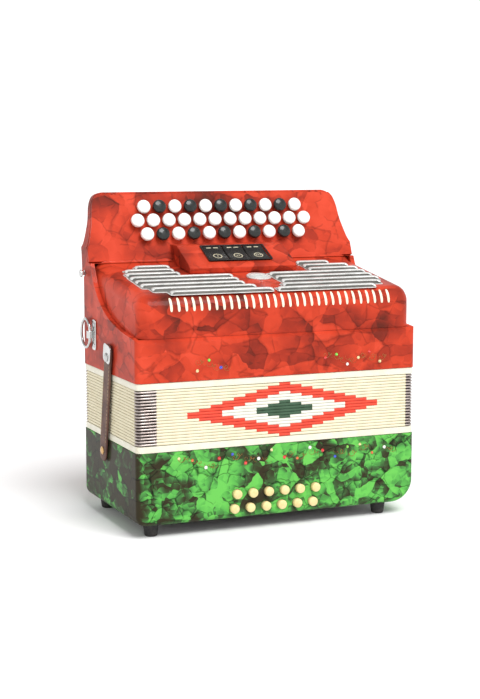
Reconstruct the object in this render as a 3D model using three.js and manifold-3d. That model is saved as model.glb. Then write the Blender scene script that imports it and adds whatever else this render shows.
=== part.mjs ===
// Three-row button accordion, standing on the feet of its bass end with the bellows closed.
// Millimetres. +X runs along the keyboard, +Y points at the player, +Z goes up from the floor.
// Heights in this file are counted from the underside of the bass casing, which its feet lift.
import * as THREE from 'three';
import { mergeVertices } from 'three/addons/utils/BufferGeometryUtils.js';
import Module from 'manifold-3d';

const wasm = await Module();
wasm.setup();

// ---------------------------------------------------------------- driving dimensions
const GAP = 0.3;                       // air kept between neighbouring pieces
const HALF_WIDTH = 155;                // casings, along X
const HALF_DEPTH = 85;                 // casings, along Y
const WALL = 5;                        // casing walls
const EDGE_RADIUS = 5;                 // upright edges of the casings
const INNER_RADIUS = 2;                // their inner faces
const ARC_STEPS = 3;                   // straight steps in a quarter turn
const FOOT_HEIGHT = 13;
const BASS_TOP = 73.5;
const BASS_CORNERS = { left: 10, right: 24 };  // lower corners of the bass casing, seen from the front
const FRAME_HEIGHT = 6.7;              // the plain bands above and below the folds
const TREBLE_BOTTOM = 143.5;
const LEDGE_TOP = 186;                 // front ledge that the grille cover stands on
const SHOULDER_Z = 252;                // where the casing turns into the keyboard
const KEYBOARD_TOP = 324.6;
const PANEL_LEAN = THREE.MathUtils.degToRad(21.2);
const PANEL_ORIGIN = [76.4, 292.1];    // y, z of the fingerboard's face at the middle row
const PANEL_BOTTOM = -42;              // distances up the fingerboard from its middle row
const PANEL_THICKNESS = 4;
const BUTTON_PITCH = 17.8;
const BUTTON_CENTRE = { x: 1, height: 0.8 };  // middle of the keyboard on the fingerboard
const ROW_PITCH = 15.5;
const BUTTON_ROWS = [
  { name: 'outer', count: 11, height: BUTTON_CENTRE.height + ROW_PITCH },
  { name: 'middle', count: 12, height: BUTTON_CENTRE.height },
  { name: 'inner', count: 11, height: BUTTON_CENTRE.height - ROW_PITCH },
];
const buttonX = (i, count) => BUTTON_CENTRE.x + (i - (count - 1) / 2) * BUTTON_PITCH;
const CAP_RADIUS = 7.3;
const STEM_RADIUS = 3;
const STEM_HOLE_RADIUS = 4;
const CAP_LIFT = 4.2;                  // underside of a cap above the fingerboard
const COVER_HALF_WIDTH = HALF_WIDTH - WALL - GAP;
const COVER_SKIN = 3;
const COVER_FRONT = -80.5;
const COVER_REAR = 60;
const COVER_SLOPE = THREE.MathUtils.degToRad(8.75);
const COVER_ROUND = { y: -63, z: 212, radius: 17.5 };
const SLOTS = { count: 31, pitch: 8.04, centreX: 4.5, width: 2.8, rear: -71, low: 212.5, high: 225 };
const LOUVRE_WINDOW = { front: -66, middle: -2, rear: 40, inner: 27, outer: 126, rearInner: 80 };
const LOUVRE_REAR = 40.5;               // middle of the rearmost bar
const LOUVRE_PITCH = 15.5;
const LOUVRE_SPANS = [
  [75, 112], [76, 128], [75, 132], [22, 133], [22, 133], [22, 133], [16, 127], [3.5, 113],
];
const LOUVRE_SECTION = [[-4, 0.4], [4, 0.4], [4, 3], [2.5, 3.3], [-4, 1.4]];
const LOUVRE_RIB = [99, 102];           // the strip under each group of bars
const BASS_BUTTON_PITCH = 17.5;
const BASS_BUTTON_RADIUS = 4.8;
const BASS_BUTTON_PROUD = 5.5;
const BASS_ROWS = { lower: { x: -8, z: 10.6 }, upper: { x: -5, z: 25.4 } };  // middle of each row
const AIR_BUTTON = { x: 118, z: 24, radius: 8, proud: 8 };
const BACK_OF_KEYBOARD = 98;
const CENTRE_Y = (BACK_OF_KEYBOARD - HALF_DEPTH - BASS_BUTTON_PROUD) / 2;

// ---------------------------------------------------------------- colours
const finish = (color, roughness, metalness = 0) => ({ color, roughness, metalness });
const RED_CELLULOID = finish(0xd8341f, 0.2);
const GREEN_CELLULOID = finish(0x1f9a3c, 0.2);
const CREAM_CARD = finish(0xf6ecd2, 0.7);
const WHITE_TRIM = finish(0xf7f3e6, 0.5);
const WHITE_CAP = finish(0xf4f2ea, 0.2);
const BLACK_CAP = finish(0x17181a, 0.2);
const BLACK_PLASTIC = finish(0x141416, 0.3);
const CHROME = finish(0xd5d7da, 0.12, 1);
const STEEL = finish(0xb8bbc0, 0.3, 1);
const BROWN_LEATHER = finish(0x4c2c20, 0.6);
const SPRUCE = finish(0xc9a36c, 0.7);
const RUBBER = finish(0x161616, 0.9);

// ---------------------------------------------------------------- solid helpers
function toSolid(geometry) {
  const bare = geometry.clone();
  bare.deleteAttribute('normal');
  bare.deleteAttribute('uv');
  const merged = mergeVertices(bare, 1e-4);
  return new wasm.Manifold(new wasm.Mesh({
    numProp: 3,
    vertProperties: new Float32Array(merged.attributes.position.array),
    triVerts: new Uint32Array(merged.index.array),
  }));
}

function toGeometry(solid) {
  const mesh = solid.getMesh();
  const geometry = new THREE.BufferGeometry();
  geometry.setAttribute('position', new THREE.BufferAttribute(mesh.vertProperties, 3));
  geometry.setIndex(new THREE.BufferAttribute(mesh.triVerts, 1));
  geometry.computeVertexNormals();
  return geometry;
}

// The basis sends an outline's two directions and its extrusion to chosen axes.
const X_AXIS = new THREE.Vector3(1, 0, 0);
const Y_AXIS = new THREE.Vector3(0, 1, 0);
const Z_AXIS = new THREE.Vector3(0, 0, 1);
const ALONG = {
  x: new THREE.Matrix4().makeBasis(Y_AXIS, Z_AXIS, X_AXIS),
  y: new THREE.Matrix4().makeBasis(Z_AXIS, X_AXIS, Y_AXIS),
  z: new THREE.Matrix4(),
};

// A prism along an axis. Outlines are [y, z] for x, [z, x] for y and [x, y] for z.
function prism(axis, outline, from, to) {
  const shape = new THREE.Shape(outline.map(([u, v]) => new THREE.Vector2(u, v)));
  const geometry = new THREE.ExtrudeGeometry(shape, { depth: to - from, bevelEnabled: false });
  geometry.translate(0, 0, from);
  return toSolid(geometry.applyMatrix4(ALONG[axis]));
}

function box(x0, x1, y0, y1, z0, z1) {
  const geometry = new THREE.BoxGeometry(x1 - x0, y1 - y0, z1 - z0);
  geometry.translate((x0 + x1) / 2, (y0 + y1) / 2, (z0 + z1) / 2);
  return toSolid(geometry);
}

// A round bar along an axis, through the point given by the other two coordinates in order.
function roundBar(axis, u, v, from, to, radius, sides = 12) {
  const outline = [];
  for (let i = 0; i < sides; i += 1) {
    const angle = (2 * Math.PI * i) / sides;
    outline.push([u + radius * Math.cos(angle), v + radius * Math.sin(angle)]);
  }
  return prism(axis, outline, from, to);
}

// A turned piece about Z, from a profile of [radius, z] pairs that starts and ends on the axis.
function turned(profile, sides) {
  return new THREE.LatheGeometry(profile.map(([r, z]) => new THREE.Vector2(r, z)), sides)
    .rotateX(Math.PI / 2);
}

function roundedOutline(halfX, halfY, radius, steps = ARC_STEPS) {
  const outline = [];
  const corners = [[1, 1], [-1, 1], [-1, -1], [1, -1]];
  corners.forEach(([sx, sy], corner) => {
    for (let i = 0; i <= steps; i += 1) {
      const angle = (Math.PI / 2) * (corner + i / steps);
      outline.push([
        sx * (halfX - radius) + radius * Math.cos(angle),
        sy * (halfY - radius) + radius * Math.sin(angle),
      ]);
    }
  });
  return outline;
}

function arc(cy, cz, radius, fromAngle, toAngle, steps) {
  const points = [];
  for (let i = 0; i <= steps; i += 1) {
    const angle = fromAngle + ((toAngle - fromAngle) * i) / steps;
    points.push([cy + radius * Math.cos(angle), cz + radius * Math.sin(angle)]);
  }
  return points;
}

const mirrored = (solid) => solid.mirror([1, 0, 0]);

// ---------------------------------------------------------------- assembly helpers
const accordion = new THREE.Group();
const instrument = new THREE.Group();
instrument.position.set(0, -CENTRE_Y, FOOT_HEIGHT);
accordion.add(instrument);

function place(name, shape, look, parent = instrument) {
  const geometry = shape.isBufferGeometry ? shape : toGeometry(shape);
  const mesh = new THREE.Mesh(geometry, new THREE.MeshStandardMaterial(look));
  mesh.name = name;
  parent.add(mesh);
  return mesh;
}

// The fingerboard's own axes: across, up the board, and out of its face.
const panelUp = [Math.sin(PANEL_LEAN), Math.cos(PANEL_LEAN)];
const panelOut = [-Math.cos(PANEL_LEAN), Math.sin(PANEL_LEAN)];
const panelPoint = (up, out) => [0, 1].map(
  (i) => PANEL_ORIGIN[i] + up * panelUp[i] + out * panelOut[i],
);
const panelMatrix = new THREE.Matrix4().makeBasis(
  X_AXIS,
  new THREE.Vector3(0, ...panelUp),
  new THREE.Vector3(0, ...panelOut),
).setPosition(0, ...PANEL_ORIGIN);
const panel = new THREE.Group();
panel.applyMatrix4(panelMatrix);
instrument.add(panel);

// The grille cover's top plane, from its rounded front edge up to the fingerboard.
const coverFrontY = COVER_ROUND.y - COVER_ROUND.radius * Math.sin(COVER_SLOPE);
const coverFrontZ = COVER_ROUND.z + COVER_ROUND.radius * Math.cos(COVER_SLOPE);
const coverTop = (y) => coverFrontZ + (y - coverFrontY) * Math.tan(COVER_SLOPE);

// ---------------------------------------------------------------- bass end
const BASS_FLOOR = { low: 0.5, high: 4.5, left: -143, right: 129 };
const FEET = { x: [-135, 121], y: [-68, 68] };
const BASS_PORT = { x: [-80, 80], y: [-12, 12] };
const AIR_PORT = { x: [105, 130], y: [30, 55] };
const BASS_SHELF = { low: 63, high: 68 };

// The casing's outline seen from the front, as [z, x]: square above, rounded below.
function bassFrontOutline(inset) {
  const half = (corner) => [
    ...arc(corner, HALF_WIDTH - corner, corner - inset, Math.PI, Math.PI / 2, 6),
    [BASS_TOP + 1, HALF_WIDTH - inset],
  ];
  return [...half(BASS_CORNERS.right), ...half(BASS_CORNERS.left).map(([z, x]) => [z, -x]).reverse()];
}

function bassCasing() {
  const depth = HALF_DEPTH + 1;
  let casing = prism('z', roundedOutline(HALF_WIDTH, HALF_DEPTH, EDGE_RADIUS), 0, BASS_TOP)
    .intersect(prism('y', bassFrontOutline(0), -depth, depth));
  const inner = roundedOutline(HALF_WIDTH - WALL, HALF_DEPTH - WALL, INNER_RADIUS);
  const hollow = prism('y', bassFrontOutline(WALL), -depth, depth);
  casing = casing.subtract(prism('z', inner, 0, BASS_SHELF.low).intersect(hollow));
  casing = casing.subtract(prism('z', inner, BASS_SHELF.high, BASS_TOP + 1));
  // The end plate closes the opening in the floor.
  const { left, right } = BASS_FLOOR;
  casing = casing.subtract(
    box(left - GAP, right + GAP, WALL - HALF_DEPTH, HALF_DEPTH - WALL, -1, WALL + 1),
  );
  // The shelf is the bass soundboard: one long port over the reed block and one for the air valve.
  for (const { x, y } of [BASS_PORT, AIR_PORT]) {
    casing = casing.subtract(box(...x, ...y, BASS_SHELF.low - 1, BASS_SHELF.high + 1));
  }
  for (const row of Object.values(BASS_ROWS)) {
    for (let i = 0; i < 6; i += 1) {
      const x = row.x + (i - 2.5) * BASS_BUTTON_PITCH;
      casing = casing.subtract(
        roundBar('y', row.z, x, -HALF_DEPTH - 1, -HALF_DEPTH + WALL + 1, BASS_BUTTON_RADIUS + 0.5),
      );
    }
  }
  return casing.subtract(
    roundBar('y', AIR_BUTTON.z, AIR_BUTTON.x, HALF_DEPTH - WALL - 1, HALF_DEPTH + 1, AIR_BUTTON.radius + 0.5),
  );
}

// The removable bottom, with its four rubber feet.
function bassEndPlate() {
  const { left, right, low, high } = BASS_FLOOR;
  const outline = roundedOutline((right - left) / 2, HALF_DEPTH - WALL - GAP, INNER_RADIUS);
  let plate = prism('z', outline, low, high).translate([(left + right) / 2, 0, 0]);
  const root = low + 0.5;
  const foot = toSolid(turned([[0, -FOOT_HEIGHT], [5.8, -FOOT_HEIGHT], [6.8, 1 - FOOT_HEIGHT],
    [8.2, -GAP], [4, -GAP], [4, root], [0, root]], 12));
  for (const x of FEET.x) {
    for (const y of FEET.y) {
      plate = plate.add(foot.translate([x, y, 0]));
    }
  }
  return plate;
}

// Six caps on the rail that carries them inside the casing.
function bassButtonRow({ x: middle, z }) {
  const railHalf = 2.5 * BASS_BUTTON_PITCH + 6;
  const railY = -HALF_DEPTH + WALL + 4.5;
  let row = box(middle - railHalf, middle + railHalf, railY, railY + 4, z - 4, z + 4);
  for (let i = 0; i < 6; i += 1) {
    const x = middle + (i - 2.5) * BASS_BUTTON_PITCH;
    const front = -HALF_DEPTH - BASS_BUTTON_PROUD;
    row = row.add(roundBar('y', z, x, front + 1.2, railY + 1, BASS_BUTTON_RADIUS));
    row = row.add(roundBar('y', z, x, front, front + 2, BASS_BUTTON_RADIUS - 1.2));
  }
  return row;
}

function airButton() {
  const { x, z, radius, proud } = AIR_BUTTON;
  const cap = roundBar('y', z, x, HALF_DEPTH - WALL - 6, HALF_DEPTH + proud - 1.5, radius);
  return cap.add(roundBar('y', z, x, HALF_DEPTH, HALF_DEPTH + proud, radius - 1.5));
}

function bassReedBlock() {
  let block = box(-78, 78, -11, 11, BASS_SHELF.high + GAP, 100);
  for (let i = 0; i < 12; i += 1) {
    const x = (i - 5.5) * 12.6;
    block = block.subtract(box(x - 4.3, x + 4.3, -12, 12, 74, 96));
  }
  return block;
}

// The band that holds the left hand against the bass end, lying slack between the feet.
function handStrap() {
  const halfLength = 112;
  const low = 3.2 - FOOT_HEIGHT;
  const thick = 2.2;
  const top = BASS_FLOOR.low - GAP;
  const outline = [
    [low, -halfLength + 14], [low, halfLength - 14], [top - thick, halfLength],
    [top - thick, halfLength + 14], [top, halfLength + 14], [top, halfLength - 2],
    [low + thick, halfLength - 16], [low + thick, -halfLength + 16], [top, -halfLength + 2],
    [top, -halfLength - 14], [top - thick, -halfLength - 14], [top - thick, -halfLength],
  ];
  return prism('y', outline, -32, 32);
}

place('bass_casing', bassCasing(), GREEN_CELLULOID);
place('bass_end_plate', bassEndPlate(), RUBBER);
place('bass_reed_block', bassReedBlock(), SPRUCE);
place('bass_buttons_lower_row', bassButtonRow(BASS_ROWS.lower), WHITE_CAP);
place('bass_buttons_upper_row', bassButtonRow(BASS_ROWS.upper), WHITE_CAP);
place('air_button', airButton(), WHITE_CAP);
place('hand_strap', handStrap(), BROWN_LEATHER);

// ---------------------------------------------------------------- bellows
const FOLDS = 18;
const FOLD_DEPTH = 12;
const BELLOWS_INSET = 1.5;
const BELLOWS_SKIN = 1.2;

function bellowsFrame(bottom) {
  const outer = roundedOutline(HALF_WIDTH - 0.5, HALF_DEPTH - 0.5, EDGE_RADIUS);
  const inner = roundedOutline(HALF_WIDTH - 16, HALF_DEPTH - 16, INNER_RADIUS);
  return prism('z', outer, bottom, bottom + FRAME_HEIGHT)
    .subtract(prism('z', inner, bottom - 1, bottom + FRAME_HEIGHT + 1));
}

// Rings of equal point counts joined in a closed loop: up the outside, then down the inside.
function foldedSleeve(low, high) {
  const rings = [];
  const ring = (inset, z) => roundedOutline(
    HALF_WIDTH - inset,
    HALF_DEPTH - inset,
    EDGE_RADIUS - inset / 4,
    2,
  ).map(([x, y]) => [x, y, z]);
  const levels = FOLDS * 2;
  const levelZ = (i) => low + ((high - low) * i) / levels;
  const insetAt = (i) => BELLOWS_INSET + (i % 2 === 0 ? FOLD_DEPTH : 0);
  for (let i = 0; i <= levels; i += 1) {
    rings.push(ring(insetAt(i), levelZ(i)));
  }
  for (let i = levels; i >= 0; i -= 1) {
    rings.push(ring(insetAt(i) + BELLOWS_SKIN, levelZ(i)));
  }
  const count = rings[0].length;
  const indices = [];
  rings.forEach((points, r) => {
    const next = (r + 1) % rings.length;
    for (let i = 0; i < count; i += 1) {
      const j = (i + 1) % count;
      indices.push(r * count + i, r * count + j, next * count + j);
      indices.push(r * count + i, next * count + j, next * count + i);
    }
  });
  const geometry = new THREE.BufferGeometry();
  geometry.setAttribute('position', new THREE.Float32BufferAttribute(rings.flat(2), 3));
  geometry.setIndex(indices);
  geometry.computeVertexNormals();
  return geometry;
}

const lowerFrameTop = BASS_TOP + GAP + FRAME_HEIGHT;
const upperFrameBottom = TREBLE_BOTTOM - GAP - FRAME_HEIGHT;
place('bellows', foldedSleeve(lowerFrameTop + GAP, upperFrameBottom - GAP), CREAM_CARD);
place('bellows_frame_bass', bellowsFrame(BASS_TOP + GAP), WHITE_TRIM);
place('bellows_frame_treble', bellowsFrame(upperFrameBottom), WHITE_TRIM);

// ---------------------------------------------------------------- treble end
const FRONT_WALL = 7;

// Each cheek's upper edge sweeps back from the ledge and up into the keyboard.
function cheekSweep() {
  const sweep = new THREE.CubicBezierCurve(
    new THREE.Vector2(-81, LEDGE_TOP),
    new THREE.Vector2(-20, 192),
    new THREE.Vector2(35, 198),
    new THREE.Vector2(58, SHOULDER_Z - 0.5),
  );
  return sweep.getPoints(10).map((point) => point.toArray());
}

function trebleCasing() {
  const back = HALF_DEPTH;
  const lower = prism('x', [
    [-HALF_DEPTH, TREBLE_BOTTOM], [-HALF_DEPTH, LEDGE_TOP - 3], ...cheekSweep(),
    [70, SHOULDER_Z - 0.5], [back, SHOULDER_Z - 0.5], [back, TREBLE_BOTTOM],
  ].reverse(), -HALF_WIDTH, HALF_WIDTH);
  const plan = roundedOutline(HALF_WIDTH, HALF_DEPTH, EDGE_RADIUS);
  const lowerBox = lower.intersect(prism('z', plan, TREBLE_BOTTOM - 1, SHOULDER_Z));

  // The keyboard body behind the fingerboard.
  const upper = prism('x', [
    panelPoint(PANEL_BOTTOM, -PANEL_THICKNESS - GAP), [80, 238], [back, 238], [87, 260],
    [BACK_OF_KEYBOARD, KEYBOARD_TOP - 4], [BACK_OF_KEYBOARD - 4, KEYBOARD_TOP],
    [panelPoint(0, -PANEL_THICKNESS - GAP)[0] + 12, KEYBOARD_TOP],
    panelPoint(32, -PANEL_THICKNESS - GAP),
  ], -HALF_WIDTH, HALF_WIDTH).intersect(prism('y', keyboardOutline(), 0, 150));

  let casing = lowerBox.add(upper);
  const half = HALF_WIDTH - WALL;
  casing = casing.subtract(box(-half, half, COVER_FRONT - 3, 0, LEDGE_TOP, KEYBOARD_TOP));
  casing = casing.subtract(
    box(-half, half, -HALF_DEPTH + FRONT_WALL, HALF_DEPTH - WALL, TREBLE_BOTTOM - 1, SHOULDER_Z - 0.5),
  );
  const cavity = [
    panelPoint(PANEL_BOTTOM - 5, -PANEL_THICKNESS + 3), [79, 245], [84, 260], [95, 316],
    panelPoint(26, -PANEL_THICKNESS - 2), panelPoint(26, -PANEL_THICKNESS + 3),
  ];
  return casing.subtract(prism('x', cavity, -126, 126));
}

// Half of the keyboard's outline seen from the front, as [z, x], and its mirror image.
function keyboardOutline() {
  const side = [[230, HALF_WIDTH], [267, HALF_WIDTH], [274, 151.5], [293, 146.5], [309, 144.5],
    [318, 141.5], [322.5, 137], [KEYBOARD_TOP + 0.2, 130]];
  return [...side, ...side.map(([z, x]) => [z, -x]).reverse()];
}

// The board with a hole for each button's stem, in its own axes.
function fingerboard() {
  const outline = keyboardOutline().map(([z, x]) => [x, (z - PANEL_ORIGIN[1]) / panelUp[1]]);
  let board = prism('z', outline.reverse(), -PANEL_THICKNESS, 0);
  board = board.intersect(box(-200, 200, PANEL_BOTTOM, 32.5, -10, 10));
  for (const { count, height } of BUTTON_ROWS) {
    for (let i = 0; i < count; i += 1) {
      board = board.subtract(roundBar('z', buttonX(i, count), height, -10, 10, STEM_HOLE_RADIUS, 8));
    }
  }
  return board;
}

function grilleCover() {
  const { y, z, radius } = COVER_ROUND;
  const top = Math.PI / 2 + COVER_SLOPE;
  const profile = (skin) => [
    [COVER_FRONT + skin, LEDGE_TOP + GAP - skin],
    ...arc(y, z, radius - skin, Math.PI, top, 6),
    [COVER_REAR + skin * 4, coverTop(COVER_REAR + skin * 4) - skin / Math.cos(COVER_SLOPE)],
    [COVER_REAR + skin * 4, LEDGE_TOP + GAP - skin],
  ].reverse();
  let cover = prism('x', profile(0), -COVER_HALF_WIDTH, COVER_HALF_WIDTH);
  cover = cover.subtract(
    prism('x', profile(COVER_SKIN), -COVER_HALF_WIDTH + COVER_SKIN, COVER_HALF_WIDTH - COVER_SKIN),
  );
  const { count, pitch, centreX, width, rear, low, high } = SLOTS;
  for (let i = 0; i < count; i += 1) {
    const x = centreX + (i - (count - 1) / 2) * pitch;
    cover = cover.subtract(box(x - width / 2, x + width / 2, COVER_FRONT - 5, rear, low, high));
  }
  const { front, middle, rearInner, inner, outer } = LOUVRE_WINDOW;
  const window = box(inner, outer, front, middle, LEDGE_TOP, KEYBOARD_TOP)
    .add(box(rearInner, outer, middle - 1, LOUVRE_WINDOW.rear, LEDGE_TOP, KEYBOARD_TOP));
  return cover.subtract(window).subtract(mirrored(window));
}

// Eight stepped bars over each sound window, from the rear to the front.
function grilleLouvres() {
  let side = null;
  const join = (solid) => { side = side ? side.add(solid) : solid; };
  LOUVRE_SPANS.forEach(([inner, outer], i) => {
    const y = LOUVRE_REAR - i * LOUVRE_PITCH;
    const section = LOUVRE_SECTION.map(([dy, dz]) => [y + dy, coverTop(y + dy) + dz]);
    join(prism('x', section, inner, outer));
  });
  const ribSection = [
    [LOUVRE_WINDOW.front + 0.4, -6], [LOUVRE_WINDOW.rear - 0.4, -6],
    [LOUVRE_WINDOW.rear - 0.4, 0.9], [LOUVRE_WINDOW.front + 0.4, 0.9],
  ].map(([y, dz]) => [y, coverTop(y) + dz]);
  join(prism('x', ribSection, ...LOUVRE_RIB));
  // The cross bar ties both sides together under the cover's skin.
  const tie = [[-32, -6], [-24, -6], [-24, -4], [-32, -4]].map(([y, dz]) => [y, coverTop(y) + dz]);
  join(prism('x', tie, -1, LOUVRE_RIB[0] + 1));
  return side.add(mirrored(side));
}

function trebleSoundboard() {
  const front = -HALF_DEPTH + FRONT_WALL + GAP;
  const rear = HALF_DEPTH - WALL - GAP;
  const half = HALF_WIDTH - WALL - GAP;
  let board = box(-half, half, front, rear, TREBLE_BOTTOM + 1, TREBLE_BOTTOM + 7);
  for (let i = 0; i < 11; i += 1) {
    const x = (i - 5) * 18;
    board = board.subtract(box(x - 4.5, x + 4.5, -36, -14, TREBLE_BOTTOM, TREBLE_BOTTOM + 8));
  }
  return board;
}

function trebleReedBlock() {
  let block = box(-100, 100, -40, -10, 106, TREBLE_BOTTOM + 1 - GAP);
  for (let i = 0; i < 11; i += 1) {
    const x = (i - 5) * 18;
    block = block.subtract(box(x - 5.5, x + 5.5, -41, -9, 111, 139));
  }
  return block;
}

function trebleButton() {
  return turned([[0, -6], [STEM_RADIUS, -6], [STEM_RADIUS, CAP_LIFT], [CAP_RADIUS, CAP_LIFT],
    [CAP_RADIUS, 7.4], [CAP_RADIUS - 2.6, 8.9], [0, 9.4]], 10);
}

place('treble_casing', trebleCasing(), RED_CELLULOID);
place('grille_cover', grilleCover(), RED_CELLULOID);
place('grille_louvres', grilleLouvres(), CHROME);
place('treble_soundboard', trebleSoundboard(), SPRUCE);
place('treble_reed_block', trebleReedBlock(), SPRUCE);
place('fingerboard', fingerboard(), RED_CELLULOID, panel);

for (const { name, count, height } of BUTTON_ROWS) {
  for (let i = 0; i < count; i += 1) {
    const white = name === 'middle' || i % 2 === 0;
    const label = String(i + 1).padStart(2, '0');
    const look = white ? WHITE_CAP : BLACK_CAP;
    const button = place(`treble_button_${name}_${label}`, trebleButton(), look, panel);
    button.position.set(buttonX(i, count), height, 0);
  }
}

// ---------------------------------------------------------------- registers
const REGISTER = {
  lean: THREE.MathUtils.degToRad(26),  // slope of the console's face
  y: 30.5,                             // middle of the tablets' faces
  z: 261,
  width: 23.2,
  length: 28,
  pitch: 23.6,
};
const registerAxes = new THREE.Matrix4().makeRotationX(REGISTER.lean)
  .setPosition(0, REGISTER.y, REGISTER.z);

function registerConsole() {
  const half = 61.5;
  const outline = [
    [10.5, coverTop(10.5) + 0.4], [COVER_REAR - 1.5, coverTop(COVER_REAR - 1.5) + 0.4],
    panelPoint(PANEL_BOTTOM, GAP), panelPoint(PANEL_BOTTOM + 17, GAP), [48, 268.5],
    [12, 250], [9.5, 247],
  ];
  const pocket = toSolid(new THREE.BoxGeometry(3 * REGISTER.pitch + 0.4, REGISTER.length + 1.6, 20)
    .translate(0, 0, 3).applyMatrix4(registerAxes));
  return prism('x', outline, -half, half).subtract(pocket);
}

const registers = new THREE.Group();
registers.applyMatrix4(registerAxes);
instrument.add(registers);
place('register_console', registerConsole(), RED_CELLULOID);
['left', 'middle', 'right'].forEach((name, i) => {
  const tablet = new THREE.BoxGeometry(REGISTER.width, REGISTER.length, 5).translate(0, 0, -2.5);
  const mesh = place(`register_switch_${name}`, tablet, BLACK_PLASTIC, registers);
  mesh.position.x = (i - 1) * REGISTER.pitch;
});

// ---------------------------------------------------------------- straps, brackets and rings
const STRAP = {
  lean: THREE.MathUtils.degToRad(10.2),
  y: 11.5,                             // the stud, where the leather bends
  z: 66,
  x: HALF_WIDTH + 2.2,
  width: 22,
  thickness: 2.5,
  length: 112,
};
const RING = { y: 50, z: 178, x: HALF_WIDTH + 3.7, radius: 15, offset: 13.5, wire: 1.5 };

function bellowsStrap() {
  const half = STRAP.width / 2;
  const tip = STRAP.length;
  const outline = [[-half, 0.4], [half, 0.4], [half, tip - 7], [half - 7, tip], [7 - half, tip],
    [-half, tip - 7]];
  const strap = prism('x', outline, -STRAP.thickness / 2, STRAP.thickness / 2);
  return strap.rotate([THREE.MathUtils.radToDeg(STRAP.lean), 0, 0]).translate([STRAP.x, STRAP.y, STRAP.z]);
}

// A plate on the casing's side with the barrel that the ring turns in.
function strapBracket() {
  const plate = box(HALF_WIDTH + GAP, HALF_WIDTH + 1.5, RING.y - 12, RING.y, RING.z - 16, RING.z + 16);
  const barrel = roundBar('z', RING.x, RING.y, RING.z - 4, RING.z + 4, 3.4);
  const joined = plate.add(barrel);
  return joined.subtract(roundBar('z', RING.x, RING.y, RING.z - 20, RING.z + 20, RING.wire + GAP));
}

// A ring flattened on one side: its straight bar runs through the barrel.
function strapRing() {
  const reach = Math.PI - Math.acos(RING.offset / RING.radius);
  const path = arc(RING.offset, 0, RING.radius, -reach, reach, 14);
  const centre = path.map(([y, z]) => new THREE.Vector3(0, y, z));
  const sides = 8;
  const count = centre.length;
  const rings = centre.map((point, i) => {
    const before = centre[(i + count - 1) % count];
    const after = centre[(i + 1) % count];
    const tangent = after.clone().sub(point).normalize()
      .add(point.clone().sub(before).normalize()).normalize();
    const across = new THREE.Vector3().crossVectors(tangent, X_AXIS).normalize();
    return Array.from({ length: sides }, (_, k) => {
      const angle = (2 * Math.PI * k) / sides;
      return point.clone()
        .addScaledVector(X_AXIS, RING.wire * Math.cos(angle))
        .addScaledVector(across, RING.wire * Math.sin(angle)).toArray();
    });
  });
  const indices = [];
  for (let r = 0; r < count; r += 1) {
    const next = (r + 1) % count;
    for (let k = 0; k < sides; k += 1) {
      const l = (k + 1) % sides;
      indices.push(r * sides + k, r * sides + l, next * sides + l);
      indices.push(r * sides + k, next * sides + l, next * sides + k);
    }
  }
  const geometry = new THREE.BufferGeometry();
  geometry.setAttribute('position', new THREE.Float32BufferAttribute(rings.flat(2), 3));
  geometry.setIndex(indices);
  return toSolid(geometry).translate([RING.x, RING.y, RING.z]);
}

place('bellows_strap_right', bellowsStrap(), BROWN_LEATHER);
place('bellows_strap_left', mirrored(bellowsStrap()), BROWN_LEATHER);
place('strap_bracket_right', strapBracket(), CHROME);
place('strap_bracket_left', mirrored(strapBracket()), CHROME);
place('strap_ring_right', strapRing(), STEEL);
place('strap_ring_left', mirrored(strapRing()), STEEL);

export default accordion;
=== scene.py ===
"""A three-row button accordion: its visible surfaces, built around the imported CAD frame.

The makers work in millimetres in the accordion's own axes: X along the keyboard, Y towards the
player with the casings' middle at 0, and Z up from the underside of the bass casing.
"""
import math

import bmesh
import bpy
from mathutils import Matrix, Vector


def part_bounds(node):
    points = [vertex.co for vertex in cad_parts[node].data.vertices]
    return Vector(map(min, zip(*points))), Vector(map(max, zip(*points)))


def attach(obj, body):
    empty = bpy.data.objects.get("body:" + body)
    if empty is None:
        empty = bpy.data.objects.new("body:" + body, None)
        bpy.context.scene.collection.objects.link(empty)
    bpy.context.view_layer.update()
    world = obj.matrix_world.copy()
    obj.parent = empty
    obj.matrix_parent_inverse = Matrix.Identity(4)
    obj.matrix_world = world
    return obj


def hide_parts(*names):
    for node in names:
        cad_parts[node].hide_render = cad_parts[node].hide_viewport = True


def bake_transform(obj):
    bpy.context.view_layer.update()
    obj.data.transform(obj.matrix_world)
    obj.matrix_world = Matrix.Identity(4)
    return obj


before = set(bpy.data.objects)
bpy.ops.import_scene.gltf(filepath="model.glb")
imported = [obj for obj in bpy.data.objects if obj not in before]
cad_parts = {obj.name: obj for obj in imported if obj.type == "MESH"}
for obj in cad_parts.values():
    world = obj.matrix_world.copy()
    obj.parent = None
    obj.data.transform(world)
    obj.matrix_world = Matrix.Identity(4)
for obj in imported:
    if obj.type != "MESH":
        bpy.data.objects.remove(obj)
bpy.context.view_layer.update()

# ---- sizes taken from the frame
MM = 0.001
casing_low, casing_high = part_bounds("bass_casing")
TO_FRAME = (
    Matrix.Translation((0, (casing_low.y + casing_high.y) / 2, casing_low.z))
    @ Matrix.Scale(MM, 4)
)
TO_MM = TO_FRAME.inverted()


def part_box(node):
    """Lowest and highest corner of a CAD node, in the accordion's own millimetres."""
    low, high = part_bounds(node)
    return TO_MM @ low, TO_MM @ high


HALF_WIDTH, HALF_DEPTH, BASS_TOP = part_box("bass_casing")[1]
FLOOR_Z = part_box("bass_end_plate")[0].z
TREBLE_BOTTOM = part_box("treble_casing")[0].z
_, BACK_OF_KEYBOARD, KEYBOARD_TOP = part_box("treble_casing")[1]
FOLDS_LOW, FOLDS_HIGH = (corner.z for corner in part_box("bellows"))
COVER_HALF_WIDTH = part_box("grille_cover")[1].x
_, COVER_FRONT, COVER_BOTTOM = part_box("grille_cover")[0]

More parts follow.
